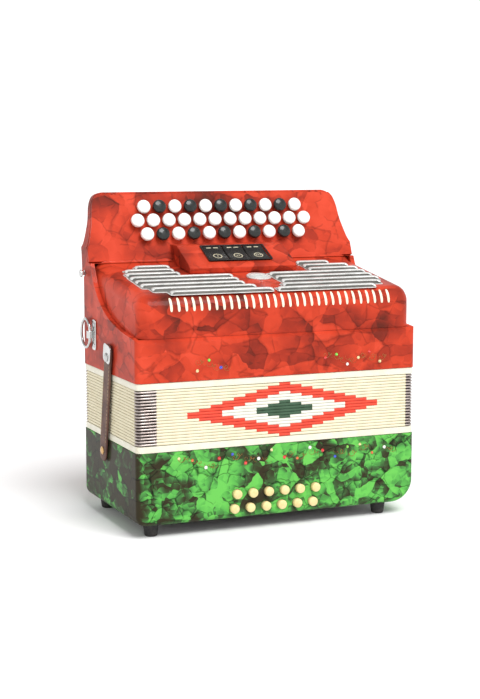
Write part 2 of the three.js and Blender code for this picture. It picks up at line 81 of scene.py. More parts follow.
# ---- other driving dimensions
WALL = 5
GAP = 0.3
EDGE_RADIUS = 6
BASS_CORNERS = {"left": 10, "right": 24}
LEDGE_TOP = 186
SHOULDER_Z = 252
PANEL_LEAN = math.radians(21.2)
PANEL_ORIGIN = Vector((0, 76.4, 292.1))
PANEL_BOTTOM = -42
PANEL_TOP = 32.5
PANEL_THICKNESS = 4
COVER_SLOPE = math.radians(8.75)
COVER_ROUND = Vector((0, -63, 212))
COVER_RADIUS = 17.5
COVER_EXTRA = 2.6               # the shell's right end laps over the cheek's inner edge
BUTTON_PITCH = 17.8
BUTTON_CENTRE_X = 1
BUTTON_CENTRE_HEIGHT = 0.8
ROW_PITCH = 15.5
BUTTON_ROWS = (("outer", 11, 1), ("middle", 12, 0), ("inner", 11, -1))
BASS_PITCH = 17.5
BASS_ROWS = (("lower", -8, 10.6), ("upper", -5, 25.4))
FEET = [(x, y) for x in (-135, 121) for y in (-68, 68)]
CAP_PROUD = 5.5                 # how far the bass caps stand out from the casing's front
RING_HINGE = (3.7, 50, 178)     # out from the casing's side, back, and up
SNAP_ALONG = 96                 # from a bellows strap's foot up to its snap
FOLDS = 18
CELL_WIDTH = 12.5
PATTERN_CENTRE = 4.8

PANEL = Matrix.Translation(PANEL_ORIGIN) @ Matrix.Rotation(math.pi / 2 - PANEL_LEAN, 4, "X")
COVER_EDGE = COVER_ROUND + COVER_RADIUS * Vector((0, -math.sin(COVER_SLOPE), math.cos(COVER_SLOPE)))
COVER = Matrix.Translation(COVER_EDGE) @ Matrix.Rotation(COVER_SLOPE, 4, "X")


def cover_place(x, y):
    """A point's place in the cover's own axes: across, up the slope, and out of its top face."""
    return Vector((x, (y - COVER_EDGE.y) / math.cos(COVER_SLOPE), 0))


def cover_top(y):
    return COVER_EDGE.z + (y - COVER_EDGE.y) * math.tan(COVER_SLOPE)


def panel_point(up, out):
    return PANEL @ Vector((0, up, out))


# ---- materials
class Look:
    """A material's node tree, with short calls for the nodes used here."""

    def __init__(self, name, **constants):
        self.material = bpy.data.materials.new(name)
        self.material.use_nodes = True
        self.tree = self.material.node_tree
        self.tree.nodes.clear()
        self.shader = self.tree.nodes.new("ShaderNodeBsdfPrincipled")
        output = self.tree.nodes.new("ShaderNodeOutputMaterial")
        self.tree.links.new(self.shader.outputs[0], output.inputs[0])
        for socket, value in constants.items():
            self.shader.inputs[socket.replace("_", " ")].default_value = value
        self.place = self.node("TexCoord").outputs["Object"]

    def feed(self, socket, value):
        if isinstance(value, bpy.types.NodeSocket):
            self.tree.links.new(value, socket)
        else:
            socket.default_value = value

    def node(self, kind, inputs=None, **settings):
        made = self.tree.nodes.new("ShaderNode" + kind)
        for name, value in settings.items():
            setattr(made, name, value)
        for socket, value in (inputs or {}).items():
            self.feed(made.inputs[socket], value)
        return made

    def math(self, operation, a, b):
        return self.node("Math", {0: a, 1: b}, operation=operation).outputs[0]

    def vector(self, operation, a, b):
        made = self.node("VectorMath", {0: a, 1: b}, operation=operation)
        return made.outputs["Value" if operation == "DOT_PRODUCT" else "Vector"]

    def stretch(self, scale):
        return self.vector("MULTIPLY", self.place, scale)

    def noise(self, scale, detail=3, place=None, output="Fac"):
        inputs = {"Vector": place or self.place, "Scale": scale, "Detail": detail}
        return self.node("TexNoise", inputs).outputs[output]

    def clouds(self, scale, detail, *stops):
        """Noise read through a ramp."""
        return self.ramp(self.noise(scale, detail), stops)

    def cells(self, scale, place, feature="F1"):
        return self.node("TexVoronoi", {"Vector": place, "Scale": scale}, feature=feature)

    def ramp(self, factor, stops):
        """Colours or greys at places from 0 to 1."""
        made = self.node("ValToRGB", {"Fac": factor})
        elements = made.color_ramp.elements
        while len(elements) < len(stops):
            elements.new(0.5)
        for element, (position, colour) in zip(elements, stops):
            element.position = position
            element.color = (colour,) * 3 + (1,) if isinstance(colour, (int, float)) else (*colour, 1)
        return made.outputs["Color"]

    def blend(self, factor, a, b, mode="MIX"):
        made = self.node("Mix", data_type="RGBA", blend_type=mode)
        for socket, value in ((0, factor), (6, a), (7, b)):
            colour = isinstance(value, tuple)
            self.feed(made.inputs[socket], (*value, 1) if colour else value)
        return made.outputs[2]

    def colour(self, value):
        self.feed(self.shader.inputs["Base Color"], value)

    def roughness(self, value):
        self.feed(self.shader.inputs["Roughness"], value)

    def bump(self, height, strength, depth):
        inputs = {"Height": height, "Strength": strength, "Distance": depth * MM}
        self.feed(self.shader.inputs["Normal"], self.node("Bump", inputs).outputs[0])


def pearl_celluloid(name, shades, patch, creases, contrast, cloud, fine=0.35, left_painted_shade=0.0):
    """Crumpled-foil celluloid: flat bright shards, each dark towards one side, with sharp creases.

    The last argument darkens the sheets that face left, by their face direction: painted shade. It
    is a guess about the material, not a light.
    """
    look = Look(name, Coat_Weight=0.14, Coat_Roughness=0.03, Coat_IOR=1.4, Specular_IOR_Level=0.08)
    warp = look.vector("SUBTRACT", look.noise(45, 3, output="Color"), (0.5, 0.5, 0.5))
    place = look.vector("ADD", look.place, look.vector("MULTIPLY", warp, (0.011,) * 3))
    place = look.vector("MULTIPLY", place, (1.0, 0.8, 1.25))
    total = None
    for scale, weight in ((patch, 1.0), (patch * 1.9, 0.75), (patch * 4.1, fine)):
        cells = look.cells(scale, place)
        inside = look.vector("SUBTRACT", place, cells.outputs["Position"])
        lean = look.vector("SUBTRACT", cells.outputs["Color"], (0.5, 0.5, 0.5))
        slope = look.vector("DOT_PRODUCT", inside, lean)
        shade = look.math("MULTIPLY", slope, scale * weight * contrast)
        total = look.math("ADD", total, shade) if total else shade
    drift = look.math("SUBTRACT", look.noise(19, 3), 0.5)
    total = look.math("ADD", total, look.math("MULTIPLY", drift, cloud))
    if left_painted_shade:
        # Painted shade: the colour of faces that point left is darkened by their direction.
        facing = look.node("SeparateXYZ", {0: look.node("TexCoord").outputs["Normal"]}).outputs["X"]
        end = look.ramp(look.math("MULTIPLY", facing, -1.0), [(0.35, 0.0), (0.8, 1.0)])
        total = look.math("SUBTRACT", total, look.math("MULTIPLY", end, left_painted_shade))
    body = look.ramp(look.math("ADD", total, 0.62), shades)
    lines = None
    for scale, width in ((patch, 0.045), (patch * 1.9, 0.05)):
        edge = look.cells(scale, place, "DISTANCE_TO_EDGE").outputs["Distance"]
        edge = look.math("ADD", edge, look.clouds(55, 2, (0.47, 0.0), (0.62, 0.1)))
        line = look.ramp(edge, [(0.0, creases), (width, 1.0)])
        lines = look.blend(1.0, lines, line, "MULTIPLY") if lines else line
    look.colour(look.blend(1.0, body, lines, "MULTIPLY"))
    look.roughness(look.ramp(total, [(0.0, 0.46), (1.0, 0.30)]))
    return look.material


def card(name, colour, shadow):
    """Bellows paper: a faint leather grain and slightly uneven colour."""
    look = Look(name, IOR=1.4)
    look.colour(look.clouds(90, 3, (0.3, shadow), (0.62, colour)))
    look.roughness(look.clouds(400, 2, (0.3, 0.5), (0.7, 0.72)))
    look.bump(look.noise(1500, 2), 0.25, 0.12)
    return look.material


def plastic(name, colour, shade, roughness, coat):
    """Moulded plastic with a soft cloud in its colour and handling marks in its gloss."""
    look = Look(name, Coat_Weight=coat, Coat_Roughness=0.05, Specular_IOR_Level=0.3)
    look.colour(look.clouds(120, 3, (0.35, shade), (0.65, colour)))
    look.roughness(look.clouds(300, 4, (0.3, roughness * 0.7), (0.75, roughness * 1.4)))
    look.bump(look.noise(700, 2), 0.08, 0.05)
    return look.material


def metal(name, colour, dark, roughness, plating=1.0):
    """Plated metal with faint clouding and fine polishing marks."""
    look = Look(name, Metallic=plating)
    look.colour(look.clouds(60, 3, (0.3, dark), (0.6, colour)))
    marks = look.noise(500, 3, look.stretch((0.12, 1, 1)))
    look.roughness(look.ramp(marks, [(0.3, roughness * 0.6), (0.7, roughness * 1.5)]))
    look.bump(marks, 0.06, 0.04)
    return look.material


def leather(name, colour, dark, worn):
    look = Look(name, IOR=1.45, Specular_IOR_Level=0.4)
    grain = look.cells(900, look.place, "SMOOTH_F1").outputs["Distance"]
    base = look.clouds(70, 4, (0.32, dark), (0.6, colour))
    look.colour(look.blend(look.clouds(28, 5, (0.56, 0.0), (0.74, 0.55)), base, worn))
    look.roughness(look.ramp(grain, [(0.1, 0.66), (0.7, 0.42)]))
    look.bump(grain, 0.5, 0.25)
    return look.material


def wood(name, light, dark):
    look = Look(name, IOR=1.4)
    rings = look.noise(24, 4, look.stretch((0.15, 3, 3)))
    pores = look.noise(600, 2, look.stretch((0.05, 1, 1)))
    look.colour(look.blend(0.35, look.ramp(rings, [(0.35, dark), (0.6, light)]), look.ramp(
        pores, [(0.3, dark), (0.7, light)])))
    look.roughness(look.ramp(pores, [(0.2, 0.75), (0.8, 0.5)]))
    look.bump(pores, 0.2, 0.1)
    return look.material


def rubber(name, colour, dust):
    look = Look(name, IOR=1.5)
    look.colour(look.clouds(150, 4, (0.45, colour), (0.8, dust)))
    look.roughness(look.clouds(500, 3, (0.3, 0.6), (0.7, 0.85)))
    look.bump(look.noise(1600, 2), 0.3, 0.1)
    return look.material


def glass_stone(name, colour, deep):
    look = Look(name, Coat_Weight=1.0, Coat_Roughness=0.02, IOR=1.6, Roughness=0.08)
    look.colour(look.clouds(900, 1, (0.4, deep), (0.6, colour)))
    return look.material


RED = pearl_celluloid(
    "red_pearl_celluloid",
    [(0.0, (0.11, 0.016, 0.009)), (0.22, (0.23, 0.022, 0.011)), (0.45, (0.37, 0.032, 0.014)),
     (0.68, (0.52, 0.046, 0.018)), (1.0, (0.62, 0.062, 0.028))],
    patch=21, creases=0.68, contrast=0.8, cloud=1.45, fine=0.3,
)
# The green's sheets that face left get painted shade, darker by face direction.
GREEN = pearl_celluloid(
    "green_pearl_celluloid",
    [(0.0, (0.030, 0.024, 0.011)), (0.20, (0.035, 0.048, 0.018)), (0.38, (0.044, 0.11, 0.034)),
     (0.52, (0.062, 0.24, 0.052)), (0.66, (0.090, 0.38, 0.068)), (1.0, (0.13, 0.49, 0.085))],
    patch=36, creases=0.3, contrast=1.3, cloud=1.7, fine=0.45, left_painted_shade=0.42,
)
CREAM = card("cream_card", (0.78, 0.72, 0.53), (0.73, 0.66, 0.47))
# A darker copy of the cream card for the faces in the folds and the inner sleeve: painted shade.
CREAM_PAINTED_FOLD_SHADE = card("cream_painted_fold_shade", (0.62, 0.54, 0.37), (0.54, 0.46, 0.31))
DIAMOND_RED = card("red_card", (0.75, 0.068, 0.033), (0.66, 0.054, 0.03))
DIAMOND_WHITE = card("white_card", (0.76, 0.75, 0.67), (0.72, 0.70, 0.60))
DIAMOND_GREEN = card("dark_green_card", (0.045, 0.10, 0.055), (0.035, 0.075, 0.04))
GUARD = metal("corner_guard_metal", (0.52, 0.46, 0.43), (0.34, 0.28, 0.26), 0.38)
GUARD_FOLD = card("guard_fold", (0.085, 0.05, 0.042), (0.05, 0.032, 0.028))
WHITE_TRIM = plastic("white_celluloid", (0.76, 0.73, 0.60), (0.71, 0.67, 0.53), 0.36, 0.3)
CAP_WHITE = plastic("white_cap", (0.90, 0.90, 0.87), (0.84, 0.84, 0.80), 0.22, 1.0)
CAP_BLACK = plastic("black_cap", (0.016, 0.020, 0.019), (0.008, 0.010, 0.009), 0.3, 0.35)
BASS_CAP = plastic("bass_cap", (0.80, 0.66, 0.33), (0.72, 0.56, 0.25), 0.3, 0.4)
IVORY = plastic("ivory_rib", (0.88, 0.84, 0.66), (0.80, 0.74, 0.54), 0.3, 0.7)
BLACK = plastic("black_plastic", (0.009, 0.007, 0.006), (0.004, 0.003, 0.003), 0.3, 0.15)
# Pale colour for the register symbols, and for the painted highlights at the rear of the tablets.
MARK_AND_PAINTED_HIGHLIGHT = plastic("pale_mark_and_painted_highlight", (0.62, 0.57, 0.42), (0.52, 0.46, 0.32), 0.4, 0.2)
DARK_BACKING = rubber("dark_backing", (0.018, 0.016, 0.015), (0.04, 0.036, 0.032))
CHROME = metal("chrome", (0.62, 0.62, 0.61), (0.50, 0.50, 0.49), 0.16)
LOUVRE_CAP = metal("louvre_cap", (0.80, 0.80, 0.78), (0.66, 0.66, 0.64), 0.3, plating=0.45)
# Dark grey metal for the louvre risers and the sheet under them: painted shade in the gaps between the bright
# bars.
LOUVRE_PAINTED_SHADE = metal("louvre_painted_shade", (0.30, 0.29, 0.27), (0.19, 0.185, 0.175), 0.45, plating=0.6)
STEEL = metal("steel", (0.54, 0.55, 0.57), (0.42, 0.43, 0.45), 0.24)
BRASS = metal("brass", (0.66, 0.43, 0.20), (0.45, 0.27, 0.12), 0.25)
GOLD = metal("gold_line", (0.42, 0.20, 0.07), (0.26, 0.10, 0.04), 0.35)
LEATHER = leather("brown_leather", (0.125, 0.055, 0.038), (0.07, 0.028, 0.02), (0.20, 0.11, 0.07))
THREAD = card("waxed_thread", (0.42, 0.30, 0.18), (0.32, 0.22, 0.13))
RUBBER = rubber("black_rubber", (0.012, 0.011, 0.011), (0.05, 0.045, 0.04))
PLATE = rubber("end_plate_lacquer", (0.03, 0.028, 0.026), (0.06, 0.055, 0.05))
SPRUCE = wood("spruce", (0.62, 0.42, 0.22), (0.42, 0.26, 0.12))
STONES = {
    "ruby": glass_stone("ruby_stone", (0.85, 0.03, 0.02), (0.5, 0.01, 0.01)),
    "amber": glass_stone("amber_stone", (0.85, 0.17, 0.03), (0.55, 0.08, 0.01)),
    "sapphire": glass_stone("sapphire_stone", (0.04, 0.10, 0.75), (0.02, 0.04, 0.4)),
    "emerald": glass_stone("emerald_stone", (0.25, 0.75, 0.06), (0.1, 0.4, 0.03)),
    "clear": glass_stone("clear_stone", (0.95, 0.95, 0.9), (0.7, 0.7, 0.64)),
    "straw": glass_stone("straw_stone", (0.85, 0.72, 0.38), (0.6, 0.48, 0.2)),
}


# ---- mesh tools
AXES = {
    "x": Matrix(((0, 0, 1), (1, 0, 0), (0, 1, 0))).to_4x4(),
    "y": Matrix(((0, 1, 0), (0, 0, 1), (1, 0, 0))).to_4x4(),
    "z": Matrix.Identity(4),
}


def loft(shape, rings, capped=True):
    """Joins closed rings of equal point counts with a skin, and caps the two ends."""
    rows = [[shape.verts.new(point) for point in ring] for ring in rings]
    count = len(rows[0])
    for low, high in zip(rows, rows[1:]):
        for i in range(count):
            j = (i + 1) % count
            shape.faces.new((low[i], low[j], high[j], high[i]))
    if capped:
        shape.faces.new(rows[0][::-1])
        shape.faces.new(rows[-1])


def prism(outline, axis, start, end, shape=None):
    """A prism along an axis. Outlines are (y, z) for x, (z, x) for y and (x, y) for z."""
    shape = shape or bmesh.new()
    turn = AXES[axis]
    loft(shape, [[turn @ Vector((u, v, w)) for u, v in outline] for w in (start, end)])
    bmesh.ops.recalc_face_normals(shape, faces=shape.faces)
    return shape


def block(low, high, shape=None):
    outline = [(low[0], low[1]), (high[0], low[1]), (high[0], high[1]), (low[0], high[1])]
    return prism(outline, "z", low[2], high[2], shape)


def merge(source, shape):
    """Adds one shape's mesh to another."""
    mesh = bpy.data.meshes.new("scratch")
    source.to_mesh(mesh)
    source.free()
    shape.from_mesh(mesh)
    bpy.data.meshes.remove(mesh)


def circle(u, v, radius, steps=24):
    turn = 2 * math.pi / steps
    return [(u + radius * math.cos(i * turn), v + radius * math.sin(i * turn)) for i in range(steps)]


def arc(u, v, radius, start, end, steps):
    angles = [start + (end - start) * i / steps for i in range(steps + 1)]
    return [(u + radius * math.cos(a), v + radius * math.sin(a)) for a in angles]


def rounded_rectangle(half_u, half_v, radius, steps=6, u=0, v=0):
    points = []
    for i, (su, sv) in enumerate(((1, 1), (-1, 1), (-1, -1), (1, -1))):
        corner = (u + su * (half_u - radius), v + sv * (half_v - radius))
        points += arc(*corner, radius, i * math.pi / 2, (i + 1) * math.pi / 2, steps)
    return points


def rounded_polygon(points, radius, steps=4):
    """Replaces each corner of a closed outline with a short curve."""
    out = []
    for i, corner in enumerate(points):
        corner = Vector(corner)
        before, after = Vector(points[i - 1]) - corner, Vector(points[(i + 1) % len(points)]) - corner
        reach = min(radius, before.length / 2.01, after.length / 2.01)
        start, end = corner + before.normalized() * reach, corner + after.normalized() * reach
        for k in range(steps + 1):
            t = k / steps
            out.append(tuple(start * (1 - t) ** 2 + corner * 2 * t * (1 - t) + end * t * t))
    return out


def lathe(profile, place, steps, shape=None, material=0):
    """A turned piece about the Z axis of place. A radius of 0 closes it."""
    shape = shape or bmesh.new()
    rings = []
    for radius, height in profile:
        points = circle(0, 0, radius, steps) if radius else [(0, 0)]
        rings.append([shape.verts.new(place @ Vector((x, y, height))) for x, y in points])
    for low, high in zip(rings, rings[1:]):
        for i in range(steps):
            j = (i + 1) % steps
            corners = [low[i % len(low)], low[j % len(low)], high[j % len(high)], high[i % len(high)]]
            unique = list(dict.fromkeys(corners))
            if len(unique) > 2:
                shape.faces.new(unique).material_index = material
    for ring, flip in ((rings[0], True), (rings[-1], False)):
        if len(ring) > 1:
            shape.faces.new(ring[::-1] if flip else ring).material_index = material
    return shape


def sweep(path, section, up, closed=False, sizes=None, shape=None):
    """Carries a section of (across, up) pairs along a path. up(i) is the direction it stands in."""
    shape = shape or bmesh.new()
    rings = []
    for i, point in enumerate(path):
        before = path[i - 1] if i or closed else path[0]
        after = path[(i + 1) % len(path)] if i + 1 < len(path) or closed else path[-1]
        along = (Vector(after) - Vector(before)).normalized()
        across = along.cross(up(i)).normalized()
        lift = across.cross(along)
        size = sizes[i] if sizes else 1
        rings.append([Vector(point) + (across * u + lift * v) * size for u, v in section])
    if closed:
        rings.append(rings[0])
    loft(shape, rings, capped=not closed)
    if closed:
        bmesh.ops.remove_doubles(shape, verts=shape.verts, dist=1e-5)
    return shape


def wire(path, radius, normal, steps, closed=False, sizes=None, shape=None):
    return sweep(path, circle(0, 0, radius, steps), lambda i: normal, closed, sizes, shape)


def piece(name, shape, looks, body=None, stands_for=(), sharp=32, soften=0, place=TO_FRAME):
    """Makes the Blender object: smooth shading, an optional rounding of its edges, and its body."""
    bmesh.ops.recalc_face_normals(shape, faces=shape.faces)
    mesh = bpy.data.meshes.new(name)
    shape.transform(place)
    shape.to_mesh(mesh)
    shape.free()
    for look in looks if isinstance(looks, (list, tuple)) else (looks,):
        mesh.materials.append(look)
    mesh.shade_smooth()
    made = bpy.data.objects.new(name, mesh)
    bpy.context.scene.collection.objects.link(made)
    if soften:
        bevel = made.modifiers.new("rounded_edges", "BEVEL")
        bevel.width = soften * MM
        bevel.segments = 3
        bevel.limit_method = "ANGLE"
        bevel.angle_limit = math.radians(40)
        bevel.use_clamp_overlap = True
        weigh = made.modifiers.new("even_shading", "WEIGHTED_NORMAL")
        weigh.keep_sharp = True
    else:
        mesh.set_sharp_from_angle(angle=math.radians(sharp))
    if body:
        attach(made, body)
    if stands_for:
        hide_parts(*stands_for)
    return made


def carve(shape, cutters=(), joined=(), kept=()):
    """Exact booleans: joins, then intersects, then cuts. Gives a new shape."""
    scratch = []

    def helper(source):
        mesh = bpy.data.meshes.new("scratch")
        source.to_mesh(mesh)
        source.free()
        made = bpy.data.objects.new("scratch", mesh)
        bpy.context.scene.collection.objects.link(made)
        scratch.append(made)
        return made

    base = helper(shape)
    for operation, group in (("UNION", joined), ("INTERSECT", kept), ("DIFFERENCE", cutters)):
        for source in group:
            step = base.modifiers.new(operation, "BOOLEAN")
            step.operation = operation
            step.solver = "EXACT"
            step.object = helper(source)
    view_layer = bpy.context.evaluated_depsgraph_get()
    done = base.evaluated_get(view_layer).to_mesh()
    result = bmesh.new()
    result.from_mesh(done)
    for made in scratch:
        mesh = made.data
        bpy.data.objects.remove(made)
        bpy.data.meshes.remove(mesh)
    bmesh.ops.remove_doubles(result, verts=result.verts, dist=0.002)
    bmesh.ops.dissolve_limit(
        result, angle_limit=math.radians(0.5), verts=result.verts, edges=result.edges
    )
    return result


def round_edges(shape, chosen, radius, steps=5):
    edges = [edge for edge in shape.edges if chosen(edge)]
    bmesh.ops.bevel(
        shape, geom=edges, offset=radius, segments=steps, profile=0.5, affect="EDGES", clamp_overlap=True
    )
    return shape


def smooth_line(points, steps):
    """A curve through the points, by the Catmull-Rom rule."""
    out = []
    for i in range(len(points) - 1):
        around = [Vector(points[min(max(i + k, 0), len(points) - 1)]) for k in (-1, 0, 1, 2)]
        for s in range(steps):
            t = s / steps
            p0, p1, p2, p3 = around
            out.append(tuple(0.5 * (2 * p1 + (p2 - p0) * t + (2 * p0 - 5 * p1 + 4 * p2 - p3) * t * t
                                    + (3 * p1 - p0 - 3 * p2 + p3) * t ** 3)))
    return out + [tuple(points[-1])]


# ---- bass end
def bass_outline(inset, top):
    """The casing's outline seen from the front, as (z, x): square above, rounded below."""
    def half(corner):
        low = arc(corner, HALF_WIDTH - corner, corner - inset, math.pi, math.pi / 2, 10)
        return low + [(top, HALF_WIDTH - inset)]

    return half(BASS_CORNERS["right"]) + [(z, -x) for z, x in reversed(half(BASS_CORNERS["left"]))]


def bass_casing():
    shell = prism(bass_outline(0, BASS_TOP), "y", -HALF_DEPTH, HALF_DEPTH)

    def rim(edge):
        a, b = (vertex.co for vertex in edge.verts)
        return abs(a.y - b.y) < GAP and not min(a.z, b.z) > BASS_TOP - GAP

    round_edges(shell, rim, EDGE_RADIUS, 6)
    cutters = [prism(bass_outline(WALL, BASS_TOP + 1), "y", WALL - HALF_DEPTH, HALF_DEPTH - WALL)]
    plate_low, plate_high = part_box("bass_end_plate")
    opening = Vector((GAP, GAP, 0))
    plate_low, plate_high = plate_low - opening, plate_high + opening
    cutters.append(block((plate_low.x, plate_low.y, -1), (plate_high.x, plate_high.y, WALL + 1)))
    for _, middle, z in BASS_ROWS:
        for i in range(6):
            hole = circle(z, middle + (i - 2.5) * BASS_PITCH, 5.3)
            cutters.append(prism(hole, "y", -HALF_DEPTH - 1, WALL + 1 - HALF_DEPTH))
    low, high = part_box("air_button")
    hole = circle((low.z + high.z) / 2, (low.x + high.x) / 2, 8.6)
    cutters.append(prism(hole, "y", HALF_DEPTH - WALL - 1, HALF_DEPTH + 1))
    return piece("bass_casing_shell", carve(shell, cutters), GREEN, "bass_end", ("bass_casing",),
                 soften=0.5)


def foot(x, y):
    profile = [(0, FLOOR_Z), (5.4, FLOOR_Z), (6.3, FLOOR_Z + 0.6), (6.7, FLOOR_Z + 1.8), (8.0, -1.4),
               (8.2, -0.8), (8.0, -0.4), (3.6, -0.4), (3.6, 0.5), (0, 0.5)]
    return lathe(profile, Matrix.Translation((x, y, 0)), 28)


def bass_underside():
    low, high = part_box("bass_end_plate")
    half = (high.x - low.x) / 2 - GAP
    plate = prism(rounded_rectangle(half, high.y, 2, u=(low.x + high.x) / 2), "z", 0.5, 4.5)
    piece("bass_end_board", plate, PLATE, "bass_end", ("bass_end_plate",), soften=0.8)
    for i, (x, y) in enumerate(FEET):
        piece(f"rubber_foot_{i + 1}", foot(x, y), RUBBER, "bass_end", ())


def dome(radius, height, edge):
    """The profile of a button's cap from its rim to its crown, above z = 0."""
    side = [(radius - 0.4, 0), (radius, 0.5), (radius, height - edge * 1.4)]
    shoulder = [(radius - edge + edge * math.cos(a), height - edge * 1.4 + edge * math.sin(a) * 0.9)
                for a in (math.radians(30), math.radians(60), math.radians(85))]
    return side + shoulder + [(radius * 0.45, height - 0.12), (radius * 0.2, height - 0.02), (0, height)]


def bass_buttons():
    for name, middle, z in BASS_ROWS:
        shape = bmesh.new()
        for i in range(6):
            x = middle + (i - 2.5) * BASS_PITCH
            face = Matrix.Translation((x, -HALF_DEPTH - CAP_PROUD, z)) @ Matrix.Rotation(math.pi / 2, 4, "X")
            cap = [(r, h - CAP_PROUD) for r, h in dome(4.8, CAP_PROUD, 1.5)]
            profile = [(0, -14.5), (4.8, -14.5)] + cap
            lathe(profile, face, 28, shape)
        rail = (middle - 49, WALL - HALF_DEPTH + 5, z - 4), (middle + 49, WALL - HALF_DEPTH + 8, z + 4)
        block(*rail, shape)
        piece(f"bass_caps_{name}", shape, BASS_CAP, f"bass_row_{name}", (f"bass_buttons_{name}_row",))


def air_button():
    low, high = part_box("air_button")
    centre = (low + high) / 2
    place = Matrix.Translation((centre.x, high.y, centre.z)) @ Matrix.Rotation(-math.pi / 2, 4, "X")
    profile = [(0, -19), (7.8, -19)] + [(r, h - 8) for r, h in dome(8, 8, 2.4)]
    piece("air_button_cap", lathe(profile, place, 40), CAP_WHITE, "air_button", ("air_button",))
    ring = [(8.7, -8 + 0.05), (10.6, -8 + 0.05), (10.9, -7.6), (10.6, -7.2), (9.0, -7.2), (8.7, -7.6),
            (8.7, -7.95)]
    piece("air_button_collar", lathe(ring, place, 40), CHROME, "bass_end", ())


def band(path, width, thickness, side):
    """A flat strap along a path. side is the direction across its width."""
    section = rounded_rectangle(width / 2, thickness / 2, 0.7, 3)
    shape = bmesh.new()
    rings = []
    for i, point in enumerate(path):
        along = (Vector(path[min(i + 1, len(path) - 1)]) - Vector(path[max(i - 1, 0)])).normalized()
        out = along.cross(side).normalized()
        rings.append([Vector(point) + side * u + out * v for u, v in section])
    loft(shape, rings)
    return shape


def stitches(path, offset, length, pitch, side, lift, shape):
    """Short threads along a strap's edge, standing lift proud of its middle line."""
    points = [Vector(p) for p in path]
    distance = 0                # from the last corner of the path to the next thread
    for a, b in zip(points, points[1:]):
        step = b - a
        while distance < step.length:
            along = step.normalized()
            out = along.cross(side).normalized()
            start = a + along * distance + side * offset + out * lift
            ends = [start - out * 0.25, start + along * length * 0.2, start + along * length * 0.8,
                    start + along * length - out * 0.25]
            wire(ends, 0.32, out, 6, shape=shape)
            distance += pitch
        distance -= step.length


def hand_strap():
    low, high = part_box("hand_strap")
    middle = low.z + 1.1
    rise = high.z - 1.1
    reach = high.x
    half = [(reach, rise), (reach - 12, rise), (reach - 20, rise - 3.0), (reach - 27, middle + 0.8),
            (reach - 38, middle), (0, middle)]
    line = smooth_line(half, 6)
    line += [(-x, z) for x, z in reversed(line[:-1])]
    path = [(x, 0, z) for x, z in line]
    width = (high.y - low.y) - 2
    thickness = 2.1
    back = Vector((0, 1, 0))
    piece("hand_strap_leather", band(path, width, thickness, back), LEATHER, "bass_end", ("hand_strap",))
    shape = bmesh.new()
    for offset in (-width / 2 + 3, width / 2 - 3):
        for lift in (thickness / 2, -thickness / 2):
            stitches(path, offset, 2.6, 4.4, back, lift, shape)
    piece("hand_strap_stitching", shape, THREAD, "bass_end", ())


# ---- bellows
# One fold from valley to valley: share of its height, and how far in it lies.
FOLD_PROFILE = ((0.0, 12.0), (0.025, 3.0), (0.06, 0.6), (0.2, 0.2), (0.5, 0.0), (0.8, 0.2), (0.94, 0.6),
                (0.975, 3.0))
GUARD_PROFILE = ((0.0, 12.0), (0.10, 3.0), (0.17, 0.4), (0.32, -0.25), (0.5, -0.45), (0.68, -0.25),
                 (0.83, 0.4), (0.90, 3.0))
RIDGE = range(2, 6)             # the steps of a fold's profile that make its outer ridge
BELLOWS_INSET = 0.95
GUARD_LENGTHS = (20.5, 9.5)     # along the front and back, from the left and right corners
GUARD_RETURN = 8


def bellows_plan():
    """The sleeve's outline: point, outward direction, and whether it lies under a corner guard."""
    half_x, half_y, radius = HALF_WIDTH - BELLOWS_INSET, HALF_DEPTH - BELLOWS_INSET, EDGE_RADIUS
    guard_low, guard_high = GUARD_LENGTHS[0] - half_x, half_x - GUARD_LENGTHS[1]
    guard_y = half_y - GUARD_RETURN
    seam = 0.15
    cells = [PATTERN_CENTRE + (c - 0.5) * CELL_WIDTH for c in range(-8, 10)]
    xs = [-half_x + radius, guard_low - seam, guard_low, -118, *cells, 128, guard_high, guard_high + seam,
          half_x - radius]
    ys = [-half_y + radius, -guard_y, -guard_y + seam, -48, -24, 0, 24, 48, guard_y - seam, guard_y,
          half_y - radius]
    plan = []

    def side(points, out, guarded):
        plan.extend((Vector((*p, 0)), Vector((*out, 0)), guarded(p)) for p in points)

    def corner(cx, cy, start):
        for k in range(1, 5):
            a = math.radians(start + 18 * k)
            out = Vector((math.cos(a), math.sin(a), 0))
            plan.append((Vector((cx, cy, 0)) + out * radius, out, True))

    def in_x(spot):
        return not guard_low - seam / 2 < spot[0] < guard_high + seam / 2

    def in_y(spot):
        return abs(spot[1]) > guard_y - seam / 2

    side([(x, -half_y) for x in xs], (0, -1), in_x)
    corner(half_x - radius, -half_y + radius, -90)
    side([(half_x, y) for y in ys], (1, 0), in_y)
    corner(half_x - radius, half_y - radius, 0)
    side([(x, half_y) for x in reversed(xs)], (0, 1), in_x)
    corner(-half_x + radius, half_y - radius, 90)
    side([(-half_x, y) for y in reversed(ys)], (-1, 0), in_y)
    corner(-half_x + radius, -half_y + radius, 180)
    return plan


def pattern_look(x, y, row):
    """Which card a fold's cell is covered in: 0 cream, 2 red, 3 white, 4 green."""
    column = round((x - PATTERN_CENTRE) / CELL_WIDTH)
    if y > 0 or abs(column) > 8:
        return 0
    level = round(abs(row - (FOLDS - 1) / 2) + 0.5)
    width = 9 - abs(column)
    if level > width:
        return 0
    if level > width - 3:
        return 2
    if level <= 3 - abs(column):
        return 4
    return 3


